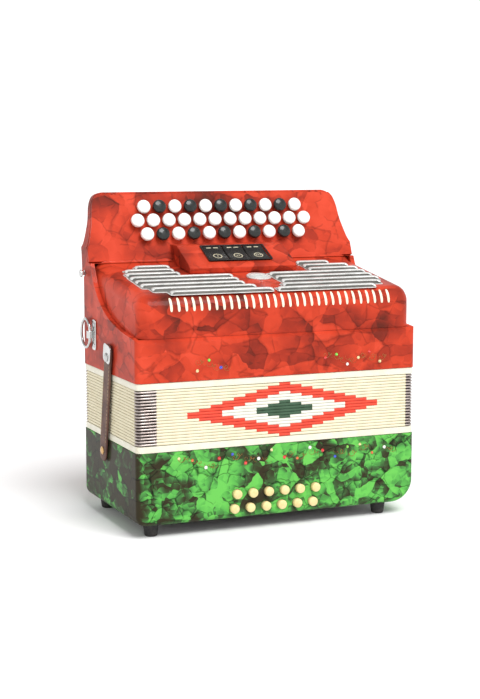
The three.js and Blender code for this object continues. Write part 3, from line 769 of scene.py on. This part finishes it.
def bellows():
    plan = bellows_plan()
    count = len(plan)
    pitch = (FOLDS_HIGH - FOLDS_LOW) / FOLDS
    levels = [(row, k) for row in range(FOLDS) for k in range(len(FOLD_PROFILE))] + [(FOLDS, 0)]
    shape = bmesh.new()
    rings = []
    for row, k in levels:
        ring = []
        for point, out, guarded in plan:
            share, inset = (GUARD_PROFILE if guarded else FOLD_PROFILE)[k]
            height = FOLDS_LOW + (row + share) * pitch
            # The folded card's corners are mitred, so the deep folds don't cross.
            spot = point - out * max(inset, 0) if inset < 5 else Vector((
                max(min(point.x, HALF_WIDTH - BELLOWS_INSET - inset), BELLOWS_INSET + inset - HALF_WIDTH),
                max(min(point.y, HALF_DEPTH - BELLOWS_INSET - inset), BELLOWS_INSET + inset - HALF_DEPTH), 0))
            if inset < 0:
                spot = point - out * inset
            ring.append(shape.verts.new((spot.x, spot.y, height)))
        rings.append(ring)
    for n in range(len(levels) - 1):
        row, k = levels[n]
        ridge = k in RIDGE
        for i in range(count):
            j = (i + 1) % count
            face = shape.faces.new((rings[n][i], rings[n][j], rings[n + 1][j], rings[n + 1][i]))
            if plan[i][2] and plan[j][2]:
                face.material_index = 5 if ridge else 6
                continue
            middle = (plan[i][0] + plan[j][0]) / 2
            on_front = plan[i][1].y < -0.9 and plan[j][1].y < -0.9
            look = pattern_look(middle.x, -1 if on_front else 1, row)
            # Faces off the ridge take the darker cream copy: painted shade in the folds.
            face.material_index = look if look else (0 if ridge else 1)
    # The inner side is a plain sleeve that closes the body, in the darker cream copy: painted shade.
    inner = [[shape.verts.new((v.co.x * 0.985, v.co.y * 0.975, v.co.z)) for v in ring]
             for ring in (rings[0], rings[-1])]
    for i in range(count):
        j = (i + 1) % count
        for a, b in ((rings[0], inner[0]), (inner[0], inner[1]), (inner[1], rings[-1])):
            face = shape.faces.new((a[i], b[i], b[j], a[j]))
            face.material_index = 1
    made = piece("bellows_folds", shape,
                 [CREAM, CREAM_PAINTED_FOLD_SHADE, DIAMOND_RED, DIAMOND_WHITE, DIAMOND_GREEN, GUARD, GUARD_FOLD],
                 None, ("bellows",), sharp=50)
    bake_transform(made)


def bellows_frame(node, body):
    low, high = part_box(node)
    ring = prism(rounded_rectangle(high.x, high.y, EDGE_RADIUS, 8), "z", low.z, high.z)
    hole = prism(rounded_rectangle(high.x - 15.5, high.y - 15.5, 2), "z", low.z - 1, high.z + 1)
    piece(node + "_trim", carve(ring, [hole]), WHITE_TRIM, body, (node,), soften=0.7)


# ---- treble end
def keyboard_side():
    """The keyboard's right edge seen from the front, as (z, x), rising."""
    curve = [(267, HALF_WIDTH), (274, 151.5), (293, 146.5), (309, 144.5), (318, 141.5), (322.5, 137),
             (KEYBOARD_TOP + 0.2, 130)]
    return [(230, HALF_WIDTH)] + smooth_line(curve, 4)


def keyboard_outline():
    side = keyboard_side()
    return side + [(z, -x) for z, x in reversed(side)]


def cheek_sweep():
    """The top of a cheek from the ledge up to the shoulder, as (y, z)."""
    steps = 24
    ends = [Vector(p) for p in ((4 - HALF_DEPTH, LEDGE_TOP), (-20, 192), (35, 198), (58, SHOULDER_Z - 0.5))]
    curve = []
    for i in range(steps + 1):
        t = i / steps
        weights = ((1 - t) ** 3, 3 * t * (1 - t) ** 2, 3 * t * t * (1 - t), t ** 3)
        curve.append(tuple(sum((p * w for p, w in zip(ends, weights)), Vector((0, 0)))))
    return curve


def treble_casing():
    behind = -PANEL_THICKNESS - GAP
    side = [(-HALF_DEPTH, TREBLE_BOTTOM), (-HALF_DEPTH, LEDGE_TOP - 3), *cheek_sweep(),
            (70, SHOULDER_Z - 0.5), (HALF_DEPTH, SHOULDER_Z - 0.5), (HALF_DEPTH, TREBLE_BOTTOM)]
    plan = rounded_rectangle(HALF_WIDTH, HALF_DEPTH, EDGE_RADIUS, 8)
    lower = carve(prism(side, "x", -HALF_WIDTH, HALF_WIDTH),
                  kept=[prism(plan, "z", TREBLE_BOTTOM - 1, SHOULDER_Z)])
    low, middle, high = (panel_point(up, behind) for up in (PANEL_BOTTOM, 0, 32))
    back = [(BACK_OF_KEYBOARD, KEYBOARD_TOP - 4), (BACK_OF_KEYBOARD - 1.2, KEYBOARD_TOP - 1.2),
            (BACK_OF_KEYBOARD - 4, KEYBOARD_TOP)]
    profile = [(low.y, low.z), (80, 238), (HALF_DEPTH, 238), (87, 260), *back, (middle.y + 12, KEYBOARD_TOP),
               (high.y, high.z)]
    upper = carve(prism(profile, "x", -HALF_WIDTH, HALF_WIDTH),
                  kept=[prism(keyboard_outline(), "y", 0, 150)])
    inside = HALF_WIDTH - WALL
    cavity_top = SHOULDER_Z - 0.6
    shape = carve(lower, joined=[upper], cutters=[
        block((-inside, COVER_FRONT - 3, LEDGE_TOP), (inside, 0, KEYBOARD_TOP)),
        block((-inside, 7 - HALF_DEPTH, TREBLE_BOTTOM - 1), (inside, HALF_DEPTH - WALL, cavity_top)),
    ])
    piece("treble_casing_shell", shape, RED, "treble_end", ("treble_casing",), soften=1.9)


def fingerboard():
    outline = [(x, (z - PANEL_ORIGIN.z) / math.cos(PANEL_LEAN)) for z, x in keyboard_outline()]
    board = carve(prism(outline, "z", -PANEL_THICKNESS, 0),
                  kept=[block((-200, PANEL_BOTTOM, -10), (200, PANEL_TOP, 10))])
    board.transform(PANEL)
    piece("fingerboard_panel", board, RED, "treble_end", ("fingerboard",), soften=0.5)


def treble_buttons():
    bushings = bmesh.new()
    for name, count, row in BUTTON_ROWS:
        for i in range(count):
            x = BUTTON_CENTRE_X + (i - (count - 1) / 2) * BUTTON_PITCH
            place = PANEL @ Matrix.Translation((x, BUTTON_CENTRE_HEIGHT + row * ROW_PITCH, 0))
            ring = [(3.2, 0.02), (5.0, 0.02), (5.1, 0.3), (4.9, 0.45), (3.4, 0.45), (3.2, 0.3)]
            lathe(ring + ring[:1], place, 20, bushings)
            white = name == "middle" or i % 2 == 0
            profile = [(0, -6), (2.9, -6), (2.9, 4.4)] + [(r, h + 4.2) for r, h in dome(7.3, 5.2, 2.0)]
            label = f"{name}_{i + 1:02d}"
            piece(f"cap_{label}", lathe(profile, place, 32), CAP_WHITE if white else CAP_BLACK,
                  f"button_{label}", (f"treble_button_{label}",))
    piece("button_bushings", bushings, DARK_BACKING, "treble_end", ())


def grille_cover():
    """A curved shell whose ends and front corners are rounded over."""
    corner = 14
    start = math.pi
    end = math.pi / 2 + COVER_SLOPE
    line = [((COVER_FRONT, COVER_BOTTOM + t), (-1, 0)) for t in (0, 8, 16)]
    for i in range(15):
        a = start + (end - start) * i / 14
        out = (math.cos(a), math.sin(a))
        line.append(((COVER_ROUND.y + COVER_RADIUS * out[0], COVER_ROUND.z + COVER_RADIUS * out[1]), out))
    top_out = (math.cos(end), math.sin(end))
    line += [((y, cover_top(y)), top_out) for y in (-40, -10, 20)]
    # The rear sweeps up to meet the fingerboard's lower edge.
    foot = panel_point(PANEL_BOTTOM + 0.3, -0.1)
    bend = panel_point(PANEL_BOTTOM - 4.5, -0.1)
    sweep_from = 38
    for k in range(9):
        t = k / 8
        y = sweep_from * (1 - t) ** 2 + bend.y * 2 * t * (1 - t) + foot.y * t * t
        z = cover_top(sweep_from) * (1 - t) ** 2 + bend.z * 2 * t * (1 - t) + foot.z * t * t
        line.append(((y, z), top_out))

    def ring(x, inset):
        points = [Vector((x, y - out[0] * inset, z - out[1] * inset)) for (y, z), out in line]
        return points + [Vector((x, foot.y, COVER_BOTTOM))]

    stations = []
    for k in range(7):
        a = math.pi / 2 * k / 6
        stations.append((COVER_HALF_WIDTH - corner * (1 - math.cos(a)), corner * (1 - math.sin(a))))
    rings = [ring(-x, inset) for x, inset in stations]
    rings += [ring(x + COVER_EXTRA, inset) for x, inset in reversed(stations)]
    shape = bmesh.new()
    loft(shape, rings)
    piece("grille_cover_shell", shape, RED, "treble_end", ("grille_cover",), sharp=40)


def grille_ribs():
    """Pale ribs set in the rounded front edge."""
    count = 31
    pitch = 8.04
    middle = 4.5
    low, high = 212.5, 225.5
    shape = bmesh.new()
    half = [(1.35, -0.6), (1.35, 0.12), (1.0, 0.36), (0.4, 0.46)]
    section = half + [(-u, v) for u, v in reversed(half)]
    start = math.pi - math.asin((low - COVER_ROUND.z) / COVER_RADIUS)
    end = math.pi - math.asin((high - COVER_ROUND.z) / COVER_RADIUS)
    steps = 10
    angles = [start + (end - start) * k / steps for k in range(steps + 1)]
    for i in range(count):
        x = middle + (i - (count - 1) / 2) * pitch
        outs = [Vector((0, math.cos(a), math.sin(a))) for a in angles]
        path = [COVER_ROUND + Vector((x, 0, 0)) + out * COVER_RADIUS for out in outs]
        sizes = [0.55, 0.9] + [1] * (steps - 3) + [0.9, 0.55]
        sweep(path, section, lambda k, outs=outs: outs[k], sizes=sizes, shape=shape)
    piece("grille_ribs", shape, IVORY, "treble_end", ())


LOUVRE_SPANS = ((75, 112), (76, 128), (75, 132), (22, 133), (22, 133), (22, 133), (16, 127), (3.5, 113))
LOUVRE_REAR = 40.5
LOUVRE_PITCH = 15.5


def grille_louvres():
    bars, risers, rims = bmesh.new(), bmesh.new(), bmesh.new()
    half = [(-2.0, 2.0), (-1.9, 2.6), (-1.4, 3.1), (-0.6, 3.3)]
    cap = half + [(-u, v) for u, v in reversed(half)]
    riser = [(-1.8, 0), (-1.8, 2.1), (1.8, 2.1), (1.8, 0)]
    hook = 5.5
    margin = 1.2
    out = COVER.to_3x3() @ Vector((0, 0, 1))
    for side in (1, -1):
        inner_edge, outer_edge = [], []
        for i, (inner, outer) in enumerate(LOUVRE_SPANS):
            s = cover_place(0, LOUVRE_REAR - i * LOUVRE_PITCH).y
            line = arc(inner + hook, s - hook, hook, math.pi, math.pi / 2, 6)
            line += arc(outer - hook, s - hook, hook, math.pi / 2, 0, 6)
            path = [COVER @ Vector((side * x, y, 0.2)) for x, y in line]
            sizes = [0.45, 0.7, 0.9] + [1] * 8 + [0.9, 0.7, 0.45]
            sweep(path, cap, lambda k: out, sizes=sizes, shape=bars)
            # The risers and the sheet below are dark grey: painted shade between the bars.
            sweep(path, riser, lambda k: out, sizes=sizes, shape=risers)
            front = s - LOUVRE_PITCH * 0.62 if i < len(LOUVRE_SPANS) - 1 else s - 6.5
            rear = s + LOUVRE_PITCH * 0.38 if i else s + 4
            inner_edge += [(inner - margin, rear), (inner - margin, front)]
            outer_edge += [(outer + margin, rear), (outer + margin, front)]
        outline = rounded_polygon([(side * x, y) for x, y in inner_edge + outer_edge[::-1]], 3)
        sheet = prism(outline, "z", 0.05, 0.3)
        sheet.transform(COVER)
        merge(sheet, risers)
        loop = [COVER @ Vector((x, y, 0.35)) for x, y in outline]
        wire(loop, 0.5, out, 8, closed=True, shape=rims)
    piece("louvre_bars", bars, LOUVRE_CAP, "treble_end", ("grille_louvres",))
    piece("louvre_risers", risers, LOUVRE_PAINTED_SHADE, "treble_end", ())
    piece("louvre_rims", rims, LOUVRE_CAP, "treble_end", ())


def round_boss():
    """A plain domed badge between the two grilles."""
    place = COVER @ Matrix.Translation(cover_place(7, -13))
    profile = [(0, 0.05), (13, 0.05), (13.2, 0.8), (12.8, 1.7), (12.0, 2.1), (11.2, 1.7), (10.6, 1.6),
               (9.6, 2.3), (7.5, 3.1), (4.5, 3.7), (2, 3.95), (0, 4.0)]
    piece("round_boss", lathe(profile, place, 48), LOUVRE_CAP, "treble_end", ())


# ---- registers
REGISTER_PLACE = Matrix.Translation((0, 30.5, 261)) @ Matrix.Rotation(math.radians(26), 4, "X")
REGISTER_PITCH = 23.6
REGISTER_SIZE = (23.2, 28, 5)


def register_console():
    low, high = panel_point(PANEL_BOTTOM, GAP), panel_point(PANEL_BOTTOM + 17, GAP)
    outline = [(10.5, cover_top(10.5) + 0.4), (58.5, cover_top(58.5) + 0.4), (low.y, low.z), (high.y, high.z),
               (48, 268.5), (12, 250), (9.5, 247)]
    half = part_box("register_console")[1].x
    body = prism(outline, "x", -half, half)
    round_edges(body, lambda edge: min(v.co.z for v in edge.verts) > 249, 5, 5)
    half_row, half_length = 1.5 * REGISTER_PITCH, REGISTER_SIZE[1] / 2
    pocket = block((-half_row - 0.2, -half_length - 0.8, -7), (half_row + 0.2, half_length + 0.8, 13))
    pocket.transform(REGISTER_PLACE)
    piece("register_console_body", carve(body, [pocket]), RED, "treble_end", ("register_console",),
          soften=0.5)
    # A thin black frame lines the pocket: painted shade in the gaps round the tablets.
    rim = prism(rounded_rectangle(half_row + 1.6, half_length + 2.2, 1.5), "z", -0.4, 0.5)
    hole = block((-half_row, -half_length - 0.4, -2), (half_row, half_length + 0.4, 2))
    liner = carve(rim, [hole])
    liner.transform(REGISTER_PLACE)
    piece("register_surround_painted_shade", liner, BLACK, "treble_end", (), soften=0.3)


def register_tablets():
    width, length, thick = REGISTER_SIZE
    half = width / 2
    for i, name in enumerate(("left", "middle", "right")):
        place = REGISTER_PLACE @ Matrix.Translation(((i - 1) * REGISTER_PITCH, 0, 0))
        shape = bmesh.new()
        rings = []
        for y in [length * (k / 12 - 0.5) for k in range(13)]:
            # The face is dished: it falls towards the middle, where a finger rests.
            face = -0.9 * math.cos(math.pi * y / length) ** 2
            right = [(half - 0.3, face - 0.7), (half - 0.9, face - 0.1), (half - 1.8, face)]
            top = right + [(-x, z) for x, z in reversed(right)]
            rings.append([(x, y, z) for x, z in [(0.3 - half, -thick), (half - 0.3, -thick)] + top])
        loft(shape, rings)
        shape.transform(place)
        body = f"register_{name}"
        piece(f"register_tablet_{name}", shape, BLACK, body, (f"register_switch_{name}",),
              sharp=25)
        marks = bmesh.new()
        tilt = Matrix.Rotation(math.radians(-3.5), 4, "X")
        spot = place @ Matrix.Translation((0, -length * 0.22, -0.45)) @ tilt
        ring = [(4.1, -0.2), (5.0, -0.2), (5.0, 0.22), (4.1, 0.22), (4.1, -0.2)]
        lathe(ring, spot, 32, marks)
        for k in range(i + 1):
            dot = Matrix.Translation(((k - i / 2) * 2.4, 0, 0))
            lathe([(0, -0.2), (0.8, -0.2), (0.8, 0.24), (0, 0.24)], spot @ dot, 12, marks)
        # The two pale bars at the rear of each tablet are painted highlights.
        for x in (-4.5, 3.5):
            bar = block((x - 2.6, length * 0.36, -0.4), (x + 2.6, length * 0.36 + 1.5, 0.02))
            bar.transform(place)
            merge(bar, marks)
        piece(f"register_mark_and_painted_highlight_{name}", marks, MARK_AND_PAINTED_HIGHLIGHT, body, ())


# ---- straps, rings and knobs
STRAP_LEAN = math.radians(10.2)
STRAP_FOOT = Vector((0, 11.5, 66))


def strap_point(side, along):
    """A point on a bellows strap's middle line, so many mm up from its foot."""
    up = Vector((0, -math.sin(STRAP_LEAN), math.cos(STRAP_LEAN)))
    return STRAP_FOOT + up * along + Vector((side * (HALF_WIDTH + 2.2), 0, 0))


def bellows_strap(side, name):
    over = Vector((0, math.cos(STRAP_LEAN), math.sin(STRAP_LEAN)))
    body = f"strap_{name}"
    width = 20
    steps = 40
    tip = 109
    tail = -15
    path = [strap_point(side, tail + (tip - tail) * k / steps) for k in range(steps + 1)]
    shape = bmesh.new()
    section = rounded_rectangle(1, 1.15, 0.5, 3)
    rings = []
    for k, point in enumerate(path):
        along = tail + (tip - tail) * k / steps
        near_end = min(along - tail, tip - along)
        half = width / 2 - (4.5 * (1 - near_end / 6) ** 2 if near_end < 6 else 0)
        rings.append([point + over * (u * half) + Vector((v, 0, 0)) for u, v in section])
    loft(shape, rings)
    made = piece(f"bellows_strap_{name}_leather", shape, LEATHER, None, (f"bellows_strap_{name}",),
                 sharp=60)
    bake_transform(made)
    threads = bmesh.new()
    sewn = [strap_point(side, 6 + 82 * k / 20) for k in range(21)]
    for offset in (-width / 2 + 2.4, width / 2 - 2.4):
        stitches(sewn, offset, 2.6, 4.2, over, -side * 1.2, threads)
    piece(f"strap_{name}_stitching", threads, THREAD, body, ())

    outward = Matrix.Rotation(side * math.pi / 2, 4, "Y")
    snap = prism(rounded_rectangle(width / 2 + 0.6, 9.5, 5, 6), "z", 1.1, 2.2)
    turn = Matrix.Rotation(STRAP_LEAN, 4, "X")
    lay = Matrix(((0, 0, side), (-side, 0, 0), (0, 1, 0))).to_4x4()
    snap.transform(Matrix.Translation(strap_point(side, 100)) @ turn @ lay)
    piece(f"strap_{name}_snap_plate", snap, CHROME, body, (), soften=0.5)
    held = strap_point(side, SNAP_ALONG)
    stud = lathe([(0, 1.9), (4.6, 1.9), (4.8, 2.6), (4.2, 3.5), (2.4, 4.2), (0, 4.4)],
                 Matrix.Translation(held) @ outward, 28)
    piece(f"strap_{name}_snap", stud, CHROME, body, ())
    # Under the snap: a socket ring on the leather, and the catch on the casing that it presses onto.
    ring = [(3.2, -1.1), (4.8, -1.1), (4.8, -1.3), (4.5, -1.45), (3.5, -1.45), (3.2, -1.3)]
    socket = lathe(ring + ring[:1], Matrix.Translation(held) @ outward, 28)
    piece(f"strap_{name}_socket", socket, CHROME, body, ())
    catch = lathe([(0, 0), (5.2, 0), (5.2, 0.3), (2.7, 0.45), (2.7, 0.75), (2.2, 0.95), (0, 0.95)],
                  Matrix.Translation((side * HALF_WIDTH, held.y, held.z)) @ outward, 28)
    piece(f"strap_{name}_catch", catch, CHROME, "treble_end", ())
    rivet = lathe([(0, 0.9), (4.2, 0.9), (4.3, 1.7), (3.4, 2.6), (1.6, 3.1), (0, 3.2)],
                  Matrix.Translation(strap_point(side, -5)) @ outward, 28)
    piece(f"strap_{name}_stud", rivet, BRASS, "bass_end", ())


def ring_hinge(side):
    out, back, up = RING_HINGE
    return Vector((side * (HALF_WIDTH + out), back, up))


def strap_ring(side, name):
    hinge = ring_hinge(side)
    radius, offset, thick = 15, 13.5, 1.5
    reach = math.pi - math.acos(offset / radius)
    points = arc(offset, 0, radius, -reach, reach, 40)
    bar = [(0, points[-1][1] * (1 - k / 4)) for k in range(1, 4)]
    bar += [(0, points[0][1] * k / 4) for k in range(1, 4)]
    path = [hinge + Vector((0, y, z)) for y, z in points + bar]
    ring = wire(path, thick, Vector((1, 0, 0)), 14, closed=True)
    piece(f"shoulder_ring_{name}", ring, CHROME, f"ring_{name}", (f"strap_ring_{name}",), sharp=60)


def strap_bracket(side, name):
    inner = side * (HALF_WIDTH + 0.05)
    outer = side * (HALF_WIDTH + 1.5)
    outline = rounded_rectangle(6, 16, 3.5, 6, 44, 178)
    plate = prism(outline, "x", min(inner, outer), max(inner, outer))
    piece(f"ring_plate_{name}", plate, CHROME, "treble_end", (f"strap_bracket_{name}",), soften=0.5)
    barrel = lathe([(1.7, -4), (3.1, -4), (3.4, -3.6), (3.4, 3.6), (3.1, 4), (1.7, 4), (1.7, -4)],
                   Matrix.Translation(ring_hinge(side)), 28)
    piece(f"ring_barrel_{name}", barrel, CHROME, "treble_end", ())
    screws = bmesh.new()
    for z in (167, 189):
        place = Matrix.Translation((outer, 43, z)) @ Matrix.Rotation(side * math.pi / 2, 4, "Y")
        lathe([(0, 0), (2.4, 0), (2.2, 0.6), (1.2, 1.0), (0, 1.1)], place, 20, screws)
    piece(f"ring_screws_{name}", screws, STEEL, "treble_end", ())


def strap_knob(side, name):
    """The small button for the top of a shoulder strap, at the back of the shoulder."""
    place = Matrix.Translation((side * HALF_WIDTH, 76, 240)) @ Matrix.Rotation(side * math.pi / 2, 4, "Y")
    profile = [(0, -0.5), (3.2, -0.5), (3.2, 0.6), (1.9, 1.2), (1.8, 2.8), (3.6, 3.4), (4.4, 4.3), (4.2, 5.2),
               (2.8, 6.0), (0, 6.3)]
    piece(f"strap_knob_{name}", lathe(profile, place, 28), CHROME, "treble_end", ())


# ---- stones and scrolls
def stone(shape, x, z, radius, material):
    """A flat-backed stone with eight facets, set on the front face."""
    place = Matrix.Translation((x, -HALF_DEPTH, z)) @ Matrix.Rotation(math.pi / 2, 4, "X")
    profile = [(0, -0.2), (radius, -0.2), (radius, 0.25), (radius * 0.62, radius * 0.55), (0, radius * 0.62)]
    lathe(profile, place, 8, shape, material)


def scroll(shape, x, z, length, phase):
    """A fine chain of loops, like lace, of uneven sizes."""
    steps = 64
    path, sizes = [], []
    for k in range(steps):
        t = k / (steps - 1)
        turn = t * 5.5 * math.pi + phase
        grow = 1.7 + 1.1 * math.sin(2.3 * t * math.pi + phase)
        path.append(Vector((x + length * (t - 0.5) + grow * math.cos(turn), -HALF_DEPTH - 0.02,
                            z + grow * math.sin(turn) + 2.0 * math.sin(3 * t + phase))))
        sizes.append(0.35 + 0.65 * math.sin(math.pi * (k + 1) / (steps + 1)))
    wire(path, 0.26, Vector((0, 1, 0)), 5, sizes=sizes, shape=shape)


def decoration():
    names = list(STONES)
    looks = [STONES[n] for n in names]
    green = bmesh.new()
    lines = bmesh.new()
    order = ("straw", "amber", "clear", "ruby", "sapphire", "ruby", "clear", "straw", "ruby", "amber",
             "clear", "ruby", "sapphire", "emerald", "straw", "amber", "clear")
    for i, name in enumerate(order):
        x = -111 + 14.4 * i
        z = 61.5 + 6.2 * math.sin(1.9 * i + 0.9)
        stone(green, x, z, 1.9 if name in ("clear", "ruby") else 1.6, names.index(name))
        if i % 4 != 3:
            scroll(lines, x + 6, 61 + 3 * math.cos(1.7 * i), 12, i * 1.3)
    piece("bass_stones", green, looks, "bass_end", (), sharp=10)
    piece("bass_scrolls", lines, GOLD, "bass_end", ())
    red = bmesh.new()
    lines = bmesh.new()
    clusters = ((-91, ("straw", "emerald", "sapphire")),
                (50, ("ruby", "emerald", "clear", "straw", "ruby", "straw")))
    for start, group in clusters:
        for i, name in enumerate(group):
            x = start + 12.6 * i
            z = 157 + 6.5 * math.sin(2.0 * i + (0.3 if start > 0 else -0.6))
            stone(red, x, z, 1.7, names.index(name))
            scroll(lines, x + 4, 158 + 2.5 * math.cos(2 * i), 9, i * 1.1)
    piece("treble_stones", red, looks, "treble_end", (), sharp=10)
    piece("treble_scrolls", lines, GOLD, "treble_end", ())


# ---- inside pieces keep their CAD shape
def dress_inside():
    for node in ("bass_reed_block", "treble_reed_block", "treble_soundboard"):
        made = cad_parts[node]
        made.data.materials.clear()
        made.data.materials.append(SPRUCE)


# ---- stage, light and camera
def stage():
    floor = bmesh.new()
    bmesh.ops.create_grid(floor, x_segments=1, y_segments=1, size=20000)
    look = Look("pale_floor")
    look.colour(look.clouds(3, 2, (0.3, (0.90, 0.90, 0.90)), (0.7, (0.92, 0.92, 0.92))))
    look.roughness(0.9)
    look.feed(look.shader.inputs["Specular IOR Level"], 0.1)
    ground = Matrix.Translation((0, 0, TO_FRAME.translation.z + FLOOR_Z * MM))
    made = piece("floor", floor, look.material, place=ground @ Matrix.Scale(MM, 4))


def sky():
    """A studio that is white around the horizon and dimmer overhead."""
    world = bpy.data.worlds.new("studio")
    world.use_nodes = True
    tree = world.node_tree
    place = tree.nodes.new("ShaderNodeTexCoord")
    parts = tree.nodes.new("ShaderNodeSeparateXYZ")
    ramp = tree.nodes.new("ShaderNodeValToRGB")
    tree.links.new(place.outputs["Generated"], parts.inputs[0])
    tree.links.new(parts.outputs["Z"], ramp.inputs["Fac"])
    tree.links.new(ramp.outputs["Color"], tree.nodes["Background"].inputs["Color"])
    low, high = ramp.color_ramp.elements
    low.position, high.position = 0.44, 0.60
    low.color, high.color = (1, 1, 1, 1), (0.40, 0.40, 0.40, 1)
    tree.nodes["Background"].inputs["Strength"].default_value = 1.1
    bpy.context.scene.world = world


def heading(azimuth, elevation):
    """The direction from the accordion to a place around it. Azimuth 0 is in front, and grows towards +X."""
    a, e = math.radians(azimuth), math.radians(elevation)
    return Vector((math.sin(a) * math.cos(e), -math.cos(a) * math.cos(e), math.sin(e)))


def sun(name, azimuth, elevation, strength, softness):
    """A large distant light."""
    data = bpy.data.lights.new(name, "SUN")
    data.energy = strength
    data.angle = math.radians(softness)
    made = bpy.data.objects.new(name, data)
    made.rotation_euler = (-heading(azimuth, elevation)).to_track_quat("-Z", "Y").to_euler()
    bpy.context.scene.collection.objects.link(made)


def camera():
    distance = 1.65476          # in metres
    target = Vector((-8.75, 0, 160.2))
    back = heading(-23.18, 7.47)
    data = bpy.data.cameras.new("camera")
    data.lens = 80.52
    data.sensor_width = 36
    made = bpy.data.objects.new("camera", data)
    made.location = TO_FRAME @ target + back * distance
    made.rotation_mode = "QUATERNION"
    made.rotation_quaternion = (-back).to_track_quat("-Z", "Y")
    bpy.context.scene.collection.objects.link(made)
    bpy.context.scene.camera = made


bpy.context.scene.view_settings.view_transform = "Standard"
camera()
sky()
sun("key", azimuth=10, elevation=56, strength=2.85, softness=34)
stage()
bass_casing()
bass_underside()
bass_buttons()
air_button()
hand_strap()
bellows()
bellows_frame("bellows_frame_bass", "bass_end")
bellows_frame("bellows_frame_treble", "treble_end")
treble_casing()
fingerboard()
treble_buttons()
grille_cover()
grille_ribs()
grille_louvres()
round_boss()
register_console()
register_tablets()
for side, name in ((-1, "left"), (1, "right")):
    bellows_strap(side, name)
    strap_ring(side, name)
    strap_bracket(side, name)
    strap_knob(side, name)
decoration()
dress_inside()
